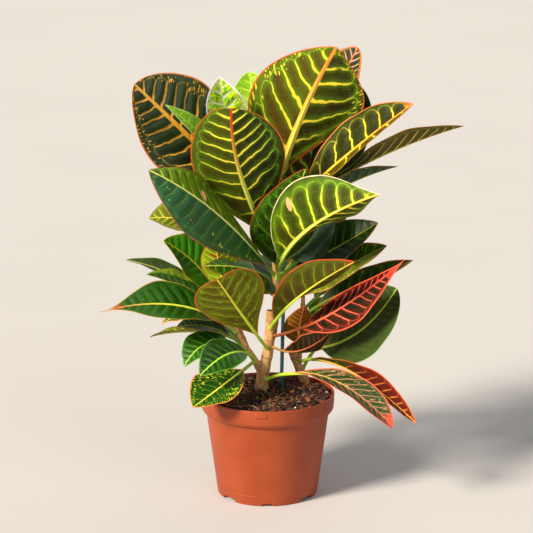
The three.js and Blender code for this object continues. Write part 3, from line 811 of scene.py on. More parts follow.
@dataclass
class Stem:
    """A stretch of woody stem through points of x, y, z and radius.

    Args:
        steps: How many equal stretches it has. Every other joint between them, from the first, is a ring
            where leaves grew.
        points: The points that its middle line passes.
        cut: Whether its top is sawn off instead of ending in a bud.
    """

    steps: int
    points: list[tuple[float, float, float, float]]
    cut: bool = False

    def at(self, t: Array) -> Array:
        """Points of the middle line, a centripetal Catmull-Rom curve, at t from 0 to 1."""
        path = np.array(self.points)[:, :3]
        path = np.concatenate([[2 * path[0] - path[1]], path, [2 * path[-1] - path[-2]]])
        spans = len(self.points) - 1
        place = np.clip(t, 0.0, 1.0) * spans
        k = np.minimum(np.floor(place).astype(int), spans - 1)
        w = (place - k)[..., None]
        p0, p1, p2, p3 = (path[k + shift] for shift in range(4))
        d0, d1, d2 = (dot(b - a, b - a) ** 0.25 for a, b in ((p0, p1), (p1, p2), (p2, p3)))
        m1 = ((p1 - p0) / d0 - (p2 - p0) / (d0 + d1) + (p2 - p1) / d1) * d1
        m2 = ((p2 - p1) / d1 - (p3 - p1) / (d1 + d2) + (p3 - p2) / d2) * d1
        return p1 + m1 * w + (3 * (p2 - p1) - 2 * m1 - m2) * w**2 + (2 * (p1 - p2) + m1 + m2) * w**3

    def tangent(self, t: Array) -> Array:
        """The middle line's direction at t."""
        return unit(self.at(np.minimum(t + 1e-4, 1.0)) - self.at(np.maximum(t - 1e-4, 0.0)))

    def axes(self, t: Array) -> tuple[Array, Array]:
        """Two axes across the middle line at t: to the side and to the back."""
        along = self.tangent(t)
        back = unit(np.array([0.0, 1.0, 0.0]) - along * along[:, 1:2])
        return np.cross(back, along), back

    def girth(self, t: Array) -> Array:
        """The radius at t, without the swellings."""
        radii = np.array(self.points)[:, 3]
        return np.interp(t * (len(radii) - 1), np.arange(len(radii)), radii)

    def radius_at(self, t: float) -> float:
        """The radius at t with the ring swellings of the solid."""
        rings = np.arange(self.steps + 1)
        swollen = self.girth(rings / self.steps) + BARK_SWELLING * (rings % 2)
        return float(np.interp(t * self.steps, rings, swollen))

    def parameter_at(self, height: float) -> float:
        """The t at which the stem reaches a height, found by halving."""
        low, high = 0.0, 1.0
        for _ in range(30):
            middle = (low + high) / 2
            if self.at(np.array([middle]))[0, 2] < height:
                low = middle
            else:
                high = middle
        return low

    def skin(self, seed: int) -> Skin:
        """The bark as a tube whose radius changes with height and angle.

        A ring swells where a leaf grew, with an oval scar on one side of it, and the scars climb by the
        golden angle. Fine ripples run along the stem. The top is a sawn face or a small dome.

        Args:
            seed: What the ripples and the scars' angles are drawn from.

        Returns:
            The closed skin, with 1 in "scar" on scars, in "ring" on the rings and in "cut" on a sawn face.
        """
        rows, around = self.steps * 9 + 1, 30
        t = np.linspace(0.0, 1.0, rows)
        centre, along = self.at(t), self.tangent(t)
        length = travelled(centre)
        angle = circle(around)
        girth = self.girth(t)[:, None]
        rings = np.arange(1, self.steps, 2)
        ring_at = np.interp(rings / self.steps, t, length)
        rise = length[:, None, None] - ring_at
        turn = (angle[None, :, None] - rings * GOLDEN_ANGLE - seed + np.pi) % (2 * np.pi) - np.pi
        sideways = turn * girth[..., None]
        oval = (rise / 2.4) ** 2 + (sideways / 3.0) ** 2
        scar = np.exp(-(oval**1.4)).max(axis=-1)
        swell = BARK_SWELLING * np.exp(-((rise / 1.8) ** 2)).sum(axis=-1)
        dent = np.exp(-(((oval - 1.0) / 0.5) ** 2)).max(axis=-1)
        spoke = spokes(*self.axes(t), angle)
        rough = ripples(centre[:, None] * (1, 1, 0.35) + spoke * girth[..., None] * 1.5, 5.0, seed)
        radius = girth + swell + 0.45 * dent - 0.3 * scar + 0.16 * rough
        tube = centre[:, None] + spoke * radius[..., None]
        if self.cut:
            steps, lifts = np.array([0.97, 0.8, 0.5, 0.15]), np.array([0.5, 0.3, -0.3, -0.6])
        else:
            bend = np.linspace(0.3, 1.5, 4)
            steps, lifts = np.cos(bend), np.sin(bend) * girth[-1] * 1.3
        closing = spoke[-1] * (radius[-1][:, None] * steps[:, None, None])
        cap = centre[-1] + along[-1] * lifts[:, None, None] + closing
        end = centre[-1] + along[-1] * lifts[-1]
        points = np.concatenate([tube, cap]).reshape(-1, 3)
        points = np.concatenate([points, [centre[0], end]])
        total = (rows + 4) * around
        marks = np.zeros(total + 2)
        marks[: rows * around] = np.maximum(scar, 0.5 * dent).ravel()
        sawn = np.zeros(total + 2)
        sawn[(rows + 1) * around :] = float(self.cut)
        bands = np.zeros(total + 2)
        bands[: rows * around] = np.broadcast_to(swell / BARK_SWELLING, (rows, around)).ravel()
        values = {"scar": marks, "cut": sawn, "ring": bands}
        return Skin(points, shell_faces(rows + 4, around, True), values)


TRUNK = Stem(
    14,
    [
        (-6, 0, 66, 7),
        (-8, 0, 105, 9),
        (-8, 0, 128, 9.5),
        (-7, 1, 146, 7.8),
        (-3, 2, 166, 7.2),
        (1, 3, 186, 6.6),
        (3, 3, 212, 6.2),
        (4, 3, 236, 5.8),
    ],
    cut=True,
)
LEADER = Stem(
    22,
    [
        (0, 5, 182, 4.5),
        (7, 15, 208, 5),
        (11, 22, 240, 5),
        (11, 22, 280, 4.8),
        (7, 19, 320, 4.4),
        (2, 14, 360, 3.8),
        (-3, 10, 400, 3.2),
        (-4, 8, 422, 2.4),
    ],
)
FRONT_BRANCH = Stem(8, [(-4, 1, 158, 3.2), (-19, -4, 180, 2.9), (-37, -7, 209, 2.7), (-46, -5, 242, 2.4)])
BACK_BRANCH = Stem(8, [(-6, 2, 148, 3), (-19, 9, 172, 2.8), (-32, 17, 200, 2.6), (-43, 24, 230, 2.3)])
SIDE_STEM = Stem(8, [(52, 38, 70, 5), (49, 38, 128, 6.4), (40, 36, 152, 5.4), (31, 33, 174, 5)], cut=True)
SIDE_SHOOT = Stem(8, [(38, 36, 156, 3.6), (43, 41, 180, 3.6), (45, 43, 212, 3.2), (45, 44, 244, 2.5)])


@dataclass
class WoodyStems:
    """The two plants' stems, each plant in one piece."""

    plants: dict[str, list[Stem]] = field(
        default_factory=lambda: {
            "main_plant_stems": [TRUNK, LEADER, FRONT_BRANCH, BACK_BRANCH],
            "second_plant_stems": [SIDE_STEM, SIDE_SHOOT],
        }
    )

    def bark(self) -> bpy.types.Material:
        """Light brown bark with fine upright streaks, brown scars and rings, and dark sawn faces."""
        paint = Paint("bark")
        streaks = paint.noise(paint.place((1.0, 1.0, 0.25)), 420.0, 5.0, 0.62)
        patches = paint.noise(paint.place(), 90.0, 3.0)
        specks = paint.cells(paint.place(), 520.0)
        tones = {0.25: "70441f", 0.45: "b07a44", 0.62: "d4a468", 0.85: "f0d0a0"}
        colour = paint.ramp(streaks * 0.6 + patches * 0.45, tones)
        pores = 1.0 - paint.eased(0.12, 0.3, specks)
        colour = paint.mixed(colour, srgb("3c2a1c"), pores * 0.45)
        scar = paint.value("scar")
        colour = paint.mixed(colour, srgb("6b4e33"), paint.eased(0.3, 0.9, scar) * 0.6)
        ring = paint.eased(0.35, 0.9, paint.value("ring")) * paint.eased(0.4, 0.7, patches) * 0.55
        colour = paint.mixed(colour, srgb("7a5a30"), ring)
        cut = paint.value("cut")
        heart = paint.mixed(srgb("2c1f16"), srgb("6c4f35"), paint.noise(paint.place(), 700.0, 4.0))
        colour = paint.mixed(colour, heart, cut)
        relief = streaks + pores * -0.5 + scar * 0.3
        return paint.finished(
            Base_Color=colour,
            Roughness=paint.eased(0.0, 1.0, patches) * 0.2 + 0.66,
            Normal=paint.bumped(relief, 0.0006, 0.8),
        )

    def build(self) -> list[bpy.types.Object]:
        """Builds and dresses one piece for each plant."""
        bark = self.bark()
        pieces = []
        for node, stems in self.plants.items():
            skin = stems[0].skin(1)
            for number, stem in enumerate(stems[1:], start=2):
                skin = skin.joined(stem.skin(number))
            pieces.append(placed(skin.built(f"bark_{node}"), node, bark))
        return pieces


def placed(piece: bpy.types.Object, node: str, material: bpy.types.Material) -> bpy.types.Object:
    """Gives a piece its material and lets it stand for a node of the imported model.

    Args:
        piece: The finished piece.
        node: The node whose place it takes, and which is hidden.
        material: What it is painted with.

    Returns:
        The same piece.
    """
    piece.data.materials.append(material)
    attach(piece, "root")
    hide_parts(node)
    log.info("%s: %d faces", piece.name, len(piece.data.polygons))
    return piece


# Leaves


@dataclass
class Leaf:
    """One leaf, grown from a stem through middle to tip. face is the way its upper side looks.

    Args:
        name: Its node's name without the "leaf_" in front.
        stem: What it grows from, at the height node.
        width: The blade's widest measure.
        foliage: Its finish.
        petiole: The share of its length that is petiole.
        fold: How steeply the halves rise from the midrib, in degrees.
        curl: How much further they turn up towards the margin, in degrees.
        wave: How far the margin waves up and down.
        ruffles: How many waves there are.
        twist: How far the tip turns against the base, in degrees.
        blunt: How broad it is near its tip.
        belly: How far its widest place lies towards the tip.
        skew: How much further it lies in the right half than in the left one, halved. The right half is the
            one on the right, seen from above with the tip up.
        slim: Whether its petiole is thin.
        laterals: The number of side veins in each half.
        lean: How far side veins run on towards the tip for each millimetre outwards.
        shear: How much more they lean in the right half than in the left one, halved.
        crowding: How fast side veins draw closer towards the tip. 1 keeps them evenly apart.
        quilt: How high the blade bulges between side veins.
    """

    name: str
    stem: Stem
    node: float
    tip: Vec
    middle: Vec
    face: Vec
    width: float
    foliage: Foliage
    petiole: float = 0.16
    fold: float = 12.0
    curl: float = 8.0
    wave: float = 2.0
    ruffles: float = 1.5
    twist: float = 0.0
    blunt: float = 0.5
    belly: float = 1.15
    skew: float = 0.0
    slim: bool = False
    laterals: float = 9.0
    lean: float = 0.5
    shear: float = 0.0
    crowding: float = 1.25
    quilt: float = 0.5

    @property
    def stalk(self) -> float:
        """The petiole's radius."""
        return 1.5 if self.slim else 2.1

    def midrib(self) -> Array:
        """The three points of the quadratic curve that the midrib follows.

        It starts a gap away from the bark, on the side that the leaf heads for, and passes middle halfway.
        """
        t = self.stem.parameter_at(self.node)
        heart = self.stem.at(np.array([t]))[0]
        axis = self.stem.tangent(np.array([t]))[0]
        tip, middle = np.array(self.tip, dtype=float), np.array(self.middle, dtype=float)
        heading = unit(2 * middle - (heart + tip) / 2 - heart)
        lean = heading @ axis
        outward = unit(heading - axis * lean)
        start = heart + outward * (self.stem.radius_at(t) + GAP + self.stalk * abs(lean))
        return np.array([start, 2 * middle - (start + tip) / 2, tip])

    def frame(self, t: Array) -> tuple[Array, Array, Array, Array]:
        """The midrib's point, direction, upward and sideways axes at each t."""
        start, bend, tip = self.midrib()
        t = t[:, None]
        centre = start * (1 - t) ** 2 + bend * 2 * t * (1 - t) + tip * t**2
        along = unit((bend - start) * (1 - t) + (tip - bend) * t)
        face = np.array(self.face, dtype=float)
        up = unit(face - along * dot(face[None], along))
        turn = np.radians(self.twist) * (t - 0.5)
        up = up * np.cos(turn) + np.cross(along, up) * np.sin(turn)
        return centre, along, up, np.cross(along, up)

    def half_width(self, b: Array, half: Array) -> Array:
        """The width of one half of the blade at b: a sine arch, sharpened or blunted towards its ends.

        Args:
            b: Places from 0 at the blade's base to 1 at its tip.
            half: 1 for the right half and -1 for the left one.

        Returns:
            The half widths in millimetres.
        """
        fullness = lerp(0.9, lerp(1.1, 0.5, self.blunt), b)
        arch = np.maximum(np.sin(np.pi * b ** (self.belly + self.skew * half)), 0.0)
        return self.width / 2 * arch**fullness

    def blade(self, seed: int) -> Skin:
        """The blade as a thin closed shell.

        A point at b along and v across lies on the midrib's frame at b, out by the half width times v,
        raised by the fold and curl, with a wave that grows towards the margin. Between side veins it
        bulges. The two faces are that surface moved along its normal, and the shell thins towards the
        margin.

        Args:
            seed: What the leaf's own waves and colours are drawn from.

        Returns:
            The shell, with what the finish needs to know at each point.
        """
        rows, columns = 76, 31
        u = np.linspace(0.0, 1.0, rows)
        b = 0.3 * u + 0.7 * (1 - np.cos(np.pi * u)) / 2
        v = np.sin(np.linspace(-np.pi / 2, np.pi / 2, columns)) * 0.35 + np.linspace(-1, 1, columns) * 0.65
        t = lerp(self.petiole, 1.0, b)
        centre, _, up, side = self.frame(t)
        half = np.maximum(self.half_width(b[:, None], np.sign(v)), 0.25)
        length = travelled(centre)
        spread = np.abs(v)[None, :]
        reach = half * spread
        rise = np.radians(self.fold + self.curl * spread / 2)
        swell = self.wave * spread**2 * np.sin(np.pi * b)[:, None]
        ripple = swell * np.sin(2 * np.pi * (self.ruffles * b[:, None] + 0.2 * v))
        turns = self.ruffles * 2.7 * b[:, None] + 0.4 * v + seed * 0.37
        ripple = ripple + 0.3 * swell * np.sin(2 * np.pi * turns)
        sideways = reach * np.cos(rise) * np.sign(v)
        upward = reach * np.sin(rise) + ripple
        surface = centre[:, None] + side[:, None] * sideways[..., None] + up[:, None] * upward[..., None]

        lean = self.lean + self.shear * np.sign(v)
        origin = length[:, None] - reach * lean - reach**2 * 0.004
        share = np.maximum(origin / length[-1], 0.0)
        phase = self.laterals * share**self.crowding
        density = self.laterals * self.crowding * np.maximum(share, 0.08) ** (self.crowding - 1)
        pitch = length[-1] / density / np.hypot(1.0, lean)
        hollow = np.cos(2 * np.pi * (phase + 0.5 * (v > 0)))
        envelope = eased(0.0, 0.3, spread) * (1 - eased(0.62, 0.95, spread)) * eased(0.02, 0.15, b[:, None])
        normal = unit(np.cross(np.gradient(surface, axis=1), np.gradient(surface, axis=0)))
        bulge = self.quilt * hollow * envelope * np.minimum(half / 30, 1.2)
        surface = surface + normal * bulge[..., None]
        normal = unit(np.cross(np.gradient(surface, axis=1), np.gradient(surface, axis=0)))
        thick = 0.42 - 0.26 * spread**5 + 0 * half
        above = surface + normal * thick[..., None]
        below = surface - normal * thick[..., None]
        ring = np.concatenate([above, below[:, ::-1]], axis=1)
        around = 2 * columns
        k = np.arange(columns - 1)
        strip = np.stack([k, k + 1, around - 2 - k, around - 1 - k], axis=-1)
        faces = [grid_faces(rows, around), strip[:, ::-1], strip + (rows - 1) * around]

        def both(numbers: Array) -> Array:
            """The same numbers on the two faces, in the ring's order."""
            numbers = np.broadcast_to(numbers, (rows, columns))
            return np.concatenate([numbers, numbers[:, ::-1]], axis=1).ravel()

        top = np.concatenate([np.ones((rows, columns)), np.zeros((rows, columns))], axis=1).ravel()
        values = {
            "across": both(half * v),
            "margin": both(half * (1 - spread)),
            "along": both(length[:, None]),
            "progress": both(b[:, None]),
            "vein": both(phase),
            "pitch": both(pitch),
            "upper": top,
            "seed": both(np.full((1, 1), (seed * 0.618) % 1.0)),
        }
        return Skin(ring.reshape(-1, 3), faces, values)

    def rib(self, seed: int) -> Skin:
        """The petiole and the midrib as one tapering tube, set into the blade's underside.

        Args:
            seed: The leaf's number, kept for its colours.

        Returns:
            The closed tube, with 1 in "rib".
        """
        rows, around = 52, 12
        start, bend, tip = self.midrib()
        reach = float(np.linalg.norm(bend - start) * 2)
        t = np.linspace(-3.0 / reach, 0.985, rows)
        centre, along, up, side = self.frame(t)
        b = (t - self.petiole) / (1 - self.petiole)
        length = travelled(centre)
        radius = self.stalk * np.clip(1 - 0.86 * np.maximum(b, 0.0) ** 0.8, 0.1, 1.0)
        radius = radius * (1 + 0.4 * np.exp(-((length / 5.0) ** 2)) + 0.12 * np.exp(-((b / 0.05) ** 2)))
        sunk = radius * 0.55 * eased(-0.06, 0.1, b)
        spoke = spokes(side, up, circle(around))
        tube = (centre - up * sunk[:, None])[:, None] + spoke * radius[:, None, None]
        ends = np.stack([centre[0], centre[-1] - up[-1] * sunk[-1] + along[-1] * radius[-1]])
        points = np.concatenate([tube.reshape(-1, 3), ends])

        def each(numbers: Array) -> Array:
            """One number for a row, on every point of it, and on the two ends."""
            return np.concatenate([np.repeat(numbers, around), numbers[[0, -1]]])

        values = {
            "across": each(np.zeros(rows)),
            "margin": each(np.full(rows, 9.0)),
            "along": each(length),
            "progress": each(b),
            "pitch": each(np.full(rows, 10.0)),
            "upper": each(np.zeros(rows)),
            "rib": each(np.ones(rows)),
            "seed": each(np.full(rows, (seed * 0.618) % 1.0)),
        }
        return Skin(points, shell_faces(rows, around, True), values)

    def build(self, seed: int, material: bpy.types.Material) -> bpy.types.Object:
        """Builds and dresses the leaf.

        Args:
            seed: The leaf's number.
            material: Its finish.

        Returns:
            The finished piece.
        """
        skin = self.blade(seed).joined(self.rib(seed))
        return placed(skin.built(f"blade_{self.name}", 75.0), f"leaf_{self.name}", material)


F = Foliage

LEAVES = [
    # The crown
    Leaf("crown_tall", LEADER, 372, (83, -24, 572), (39, -15, 481), (-0.05, 0.95, 0.1), 139, F.TALL,
         blunt=0.5, belly=1.2, skew=-0.25, fold=7, laterals=7, lean=0.5, shear=0.12),
    Leaf("crown_front", LEADER, 322, (-43, -86, 508), (-33, -54, 422), (0.1, 0.9, 0.35), 120, F.FRONT,
         petiole=0.06, fold=8, blunt=1.1, belly=1.22, skew=-0.18, laterals=10, lean=0.42, shear=-0.24,
         crowding=1.5),
    Leaf("crown_left", LEADER, 360, (-161, -32, 528), (-89, -4, 451), (0.3, -0.85, 0.45), 126, F.NIGHT,
         blunt=0.8, fold=6, laterals=10, lean=0.4, quilt=1.3),
    Leaf("crown_right", LEADER, 348, (174, -60, 509), (88, -34, 434), (-0.59, -0.33, 0.72), 92,
         F.OLIVE_GREY, fold=17, laterals=8, lean=0.2),
    Leaf("crown_young", LEADER, 404, (-57, -38, 538), (-46, -22, 480), (0.2, -0.95, 0.25), 52, F.YOUNG,
         laterals=7),
    Leaf("crown_bud", LEADER, 414, (-22, 30, 534), (-16, 20, 470), (0, -0.9, 0.3), 62, F.BUD, blunt=0.9),
    Leaf("crown_strip", LEADER, 396, (-122, -60, 508), (-62, -22, 450), (0.2, -0.6, 0.7), 30, F.BUD,
         slim=True),
    Leaf("crown_behind_left", LEADER, 390, (-62, 58, 520), (-44, 44, 456), (0.5, -0.6, 0.5), 66, F.NIGHT),
    Leaf("crown_behind_right", LEADER, 386, (112, 44, 562), (60, 36, 472), (-0.4, -0.7, 0.4), 80, F.ASH,
         blunt=0.9, laterals=14, lean=0.9),
    Leaf("crown_dark", LEADER, 366, (108, 40, 520), (90, 26, 438), (-0.5, -0.7, 0.4), 84, F.FOREST),
    # The upper half of the leader
    Leaf("far_right", LEADER, 354, (245, 48, 463), (128, 50, 418), (-0.35, 0.38, 0.85), 76, F.RUSSET,
         laterals=12, lean=0.8),
    Leaf("right_under", LEADER, 334, (161, 20, 417), (85, 26, 386), (-0.3, 0.35, 0.85), 54, F.DARK_GLOSS),
    Leaf("front_right", LEADER, 276, (133, -125, 413), (46, -74, 356), (-0.24, 0.92, 0.25), 114, F.CREAM,
         blunt=-0.2, belly=1.05, fold=36, twist=-12, laterals=9, lean=0.12),
    Leaf("front_net", LEADER, 290, (46, -64, 431), (22, -34, 352), (-0.1, 0.9, 0.3), 87, F.NETTED,
         petiole=0.04, blunt=0.6, belly=0.85, quilt=0.8),
    Leaf("left_two_tone", LEADER, 280, (-141, -102, 437), (-61, -74, 378), (0.48, -0.55, 0.66), 100,
         F.TWO_TONE, petiole=0.06, fold=-14, curl=0, laterals=13, lean=0.3, crowding=1.1, quilt=0.8),
    Leaf("left_olive", LEADER, 312, (-148, 20, 351), (-80, 22, 344), (0.2, -0.45, 0.85), 64,
         F.PALE_OLIVE, petiole=0.3),
    Leaf("left_patch", FRONT_BRANCH, 241, (-64, -30, 335), (-58, -14, 290), (0, 0.95, 0.3), 48, F.PATCHED),
    Leaf("right_dotted", LEADER, 280, (137, 0, 350), (72, 10, 308), (-0.3, -0.6, 0.75), 66, F.DARK_GLOSS),
    Leaf("right_slate", LEADER, 296, (76, 0, 370), (50, 6, 322), (-0.4, -0.8, 0.3), 66, F.SLATE,
         blunt=0.9),
    Leaf("front_edge", LEADER, 256, (-77, -98, 319), (-15, -40, 298), (0.08, -0.5, 0.85), 70, F.NETTED,
         fold=-16, curl=-4, belly=0.8),
    Leaf("right_rimmed", LEADER, 236, (147, -22, 326), (76, -6, 282), (-0.3, -0.5, 0.8), 58, F.RIMMED),
    Leaf("right_glossy", SIDE_SHOOT, 221, (183, 28, 295), (99, 44, 251), (-0.35, -0.5, 0.75), 42,
         F.RIMMED),
    # The trunk and its branches
    Leaf("front_olive", TRUNK, 190, (-60, -120, 308), (-28, -70, 246), (-0.15, 0.9, 0.3), 90,
         F.LEMON_OLIVE, blunt=1.2, belly=2, laterals=8, lean=0.5),
    Leaf("right_curled", TRUNK, 217, (104, -105, 326), (38, -64, 272), (-0.35, 0.85, 0.3), 62, F.CURLED,
         petiole=0.1, fold=30, twist=-20),
    Leaf("right_coral", TRUNK, 205, (166, -74, 321), (80, -43, 246), (-0.45, -0.72, 0.48), 52, F.CORAL,
         petiole=0.25, blunt=-0.6, belly=0.85, fold=-30, laterals=13, lean=0.6),
    Leaf("low_coral", TRUNK, 190, (80, -26, 218), (42, -18, 191), (-0.2, 0.8, 0.6), 42, F.SHADOW,
         slim=True),
    Leaf("low_striped", TRUNK, 150, (152, -110, 119), (76, -66, 168), (0.5, -0.4, 0.8), 58, F.STRIPED,
         belly=1.6, blunt=0.7, laterals=13, lean=1.0),
    Leaf("low_front", FRONT_BRANCH, 174, (-91, -95, 140), (-55, -54, 156), (-0.15, -0.6, 0.8), 64,
         F.SPLASHED),
    Leaf("left_upright", FRONT_BRANCH, 234, (-129, -22, 332), (-83, -3, 290), (0.15, -0.6, 0.75), 64,
         F.GOLD_EDGED),
    Leaf("left_tucked", FRONT_BRANCH, 226, (-150, -13, 287), (-98, -8, 264), (0, 0.1, 1), 52, F.HALVED,
         fold=30),
    Leaf("left_yellow_rib", FRONT_BRANCH, 214, (-205, -63, 252), (-112, -46, 256), (0.05, -0.5, 0.8), 68,
         F.BOLD_RIB, blunt=-1.5, belly=0.9, laterals=12, quilt=0.9),
    Leaf("left_dark", FRONT_BRANCH, 198, (-114, -10, 218), (-72, -4, 216), (0.1, -0.2, 0.95), 44,
         F.DARK_GLOSS),
    Leaf("low_curl", FRONT_BRANCH, 188, (-103, -48, 178), (-72, -26, 202), (-0.3, -0.6, 0.7), 44,
         F.BRIGHT),
    Leaf("low_bright", FRONT_BRANCH, 178, (-83, -80, 176), (-46, -50, 196), (-0.2, -0.75, 0.6), 52,
         F.FOREST),
    Leaf("left_far", BACK_BRANCH, 224, (-179, 34, 294), (-108, 40, 266), (0.1, -0.2, 0.95), 38, F.BROAD),
    Leaf("left_speckled", BACK_BRANCH, 208, (-137, 60, 203), (-88, 42, 220), (0.1, -0.3, 0.9), 40,
         F.SPLASHED, slim=True),
    Leaf("left_thin", BACK_BRANCH, 196, (-149, 20, 197), (-92, 20, 204), (0.1, 0.2, 0.95), 40,
         F.PALE_OLIVE, slim=True),
    # The second plant
    Leaf("right_broad", SIDE_SHOOT, 176, (160, -24, 272), (109, -3, 206), (-0.35, -0.7, 0.6), 98,
         F.BROAD, blunt=0.9, laterals=12, quilt=0.9),
    Leaf("right_upright", SIDE_SHOOT, 176, (46, -8, 246), (40, 14, 208), (-0.2, 0.9, 0.2), 40, F.EMBER,
         slim=True, belly=0.8),
    Leaf("right_bright", SIDE_SHOOT, 206, (98, 66, 226), (68, 56, 224), (0, -0.2, 1), 44, F.BRIGHT,
         slim=True),
    Leaf("low_maroon", SIDE_STEM, 160, (183, -80, 115), (99, -30, 170), (0.3, 0.45, 0.85), 50, F.MAROON,
         twist=-80, laterals=12, lean=0.8),
    # The back
    Leaf("back_tall", LEADER, 378, (10, 104, 502), (6, 64, 446), (0, -0.8, 0.5), 108, F.NIGHT, blunt=0.8,
         laterals=10),
    Leaf("back_top_left", LEADER, 370, (-96, 78, 470), (-52, 50, 420), (0.4, -0.6, 0.6), 80, F.OLIVE_GREY),
    Leaf("back_right", LEADER, 342, (112, 112, 466), (56, 66, 408), (-0.5, -0.5, 0.7), 98, F.CREAM),
    Leaf("back_left", LEADER, 330, (-118, 104, 458), (-56, 62, 400), (0.5, -0.5, 0.7), 98, F.FOREST),
    Leaf("back_middle", LEADER, 308, (-6, 146, 396), (2, 84, 352), (0, -0.5, 0.85), 100, F.FRONT),
    Leaf("back_mid_right", LEADER, 268, (102, 118, 350), (56, 74, 316), (-0.3, -0.4, 0.85), 86,
         F.LEMON_OLIVE),
    Leaf("back_mid_left", LEADER, 256, (-104, 112, 284), (-50, 72, 276), (0.3, -0.1, 0.95), 80,
         F.GOLD_EDGED),
    Leaf("back_low_middle", LEADER, 226, (14, 138, 272), (12, 82, 260), (0, -0.2, 1), 82, F.BOLD_RIB),
    Leaf("back_low_right", SIDE_SHOOT, 228, (120, 112, 262), (84, 80, 251), (-0.2, -0.2, 0.95), 75,
         F.SPLASHED),
    Leaf("back_low_left", BACK_BRANCH, 216, (-110, 116, 236), (-76, 72, 232), (0.2, -0.2, 0.95), 70,
         F.STRIPED),
    Leaf("back_floor_right", SIDE_STEM, 148, (98, 128, 172), (74, 84, 178), (0.2, 0.2, 0.95), 58,
         F.MAROON),
    Leaf("back_floor_left", BACK_BRANCH, 180, (-88, 118, 178), (-56, 70, 190), (-0.2, 0.2, 0.95), 58,
         F.BRIGHT),
]


@dataclass
class Leaves:
    """All the leaves, which share their finishes."""

    leaves: list[Leaf] = field(default_factory=lambda: LEAVES)

    def build(self) -> list[bpy.types.Object]:
        """Builds and dresses every leaf."""
        worn = {leaf.foliage for leaf in self.leaves}
        finishes = {foliage: foliage.value.material() for foliage in Foliage if foliage in worn}
        return [leaf.build(seed, finishes[leaf.foliage]) for seed, leaf in enumerate(self.leaves, start=1)]


# Pot


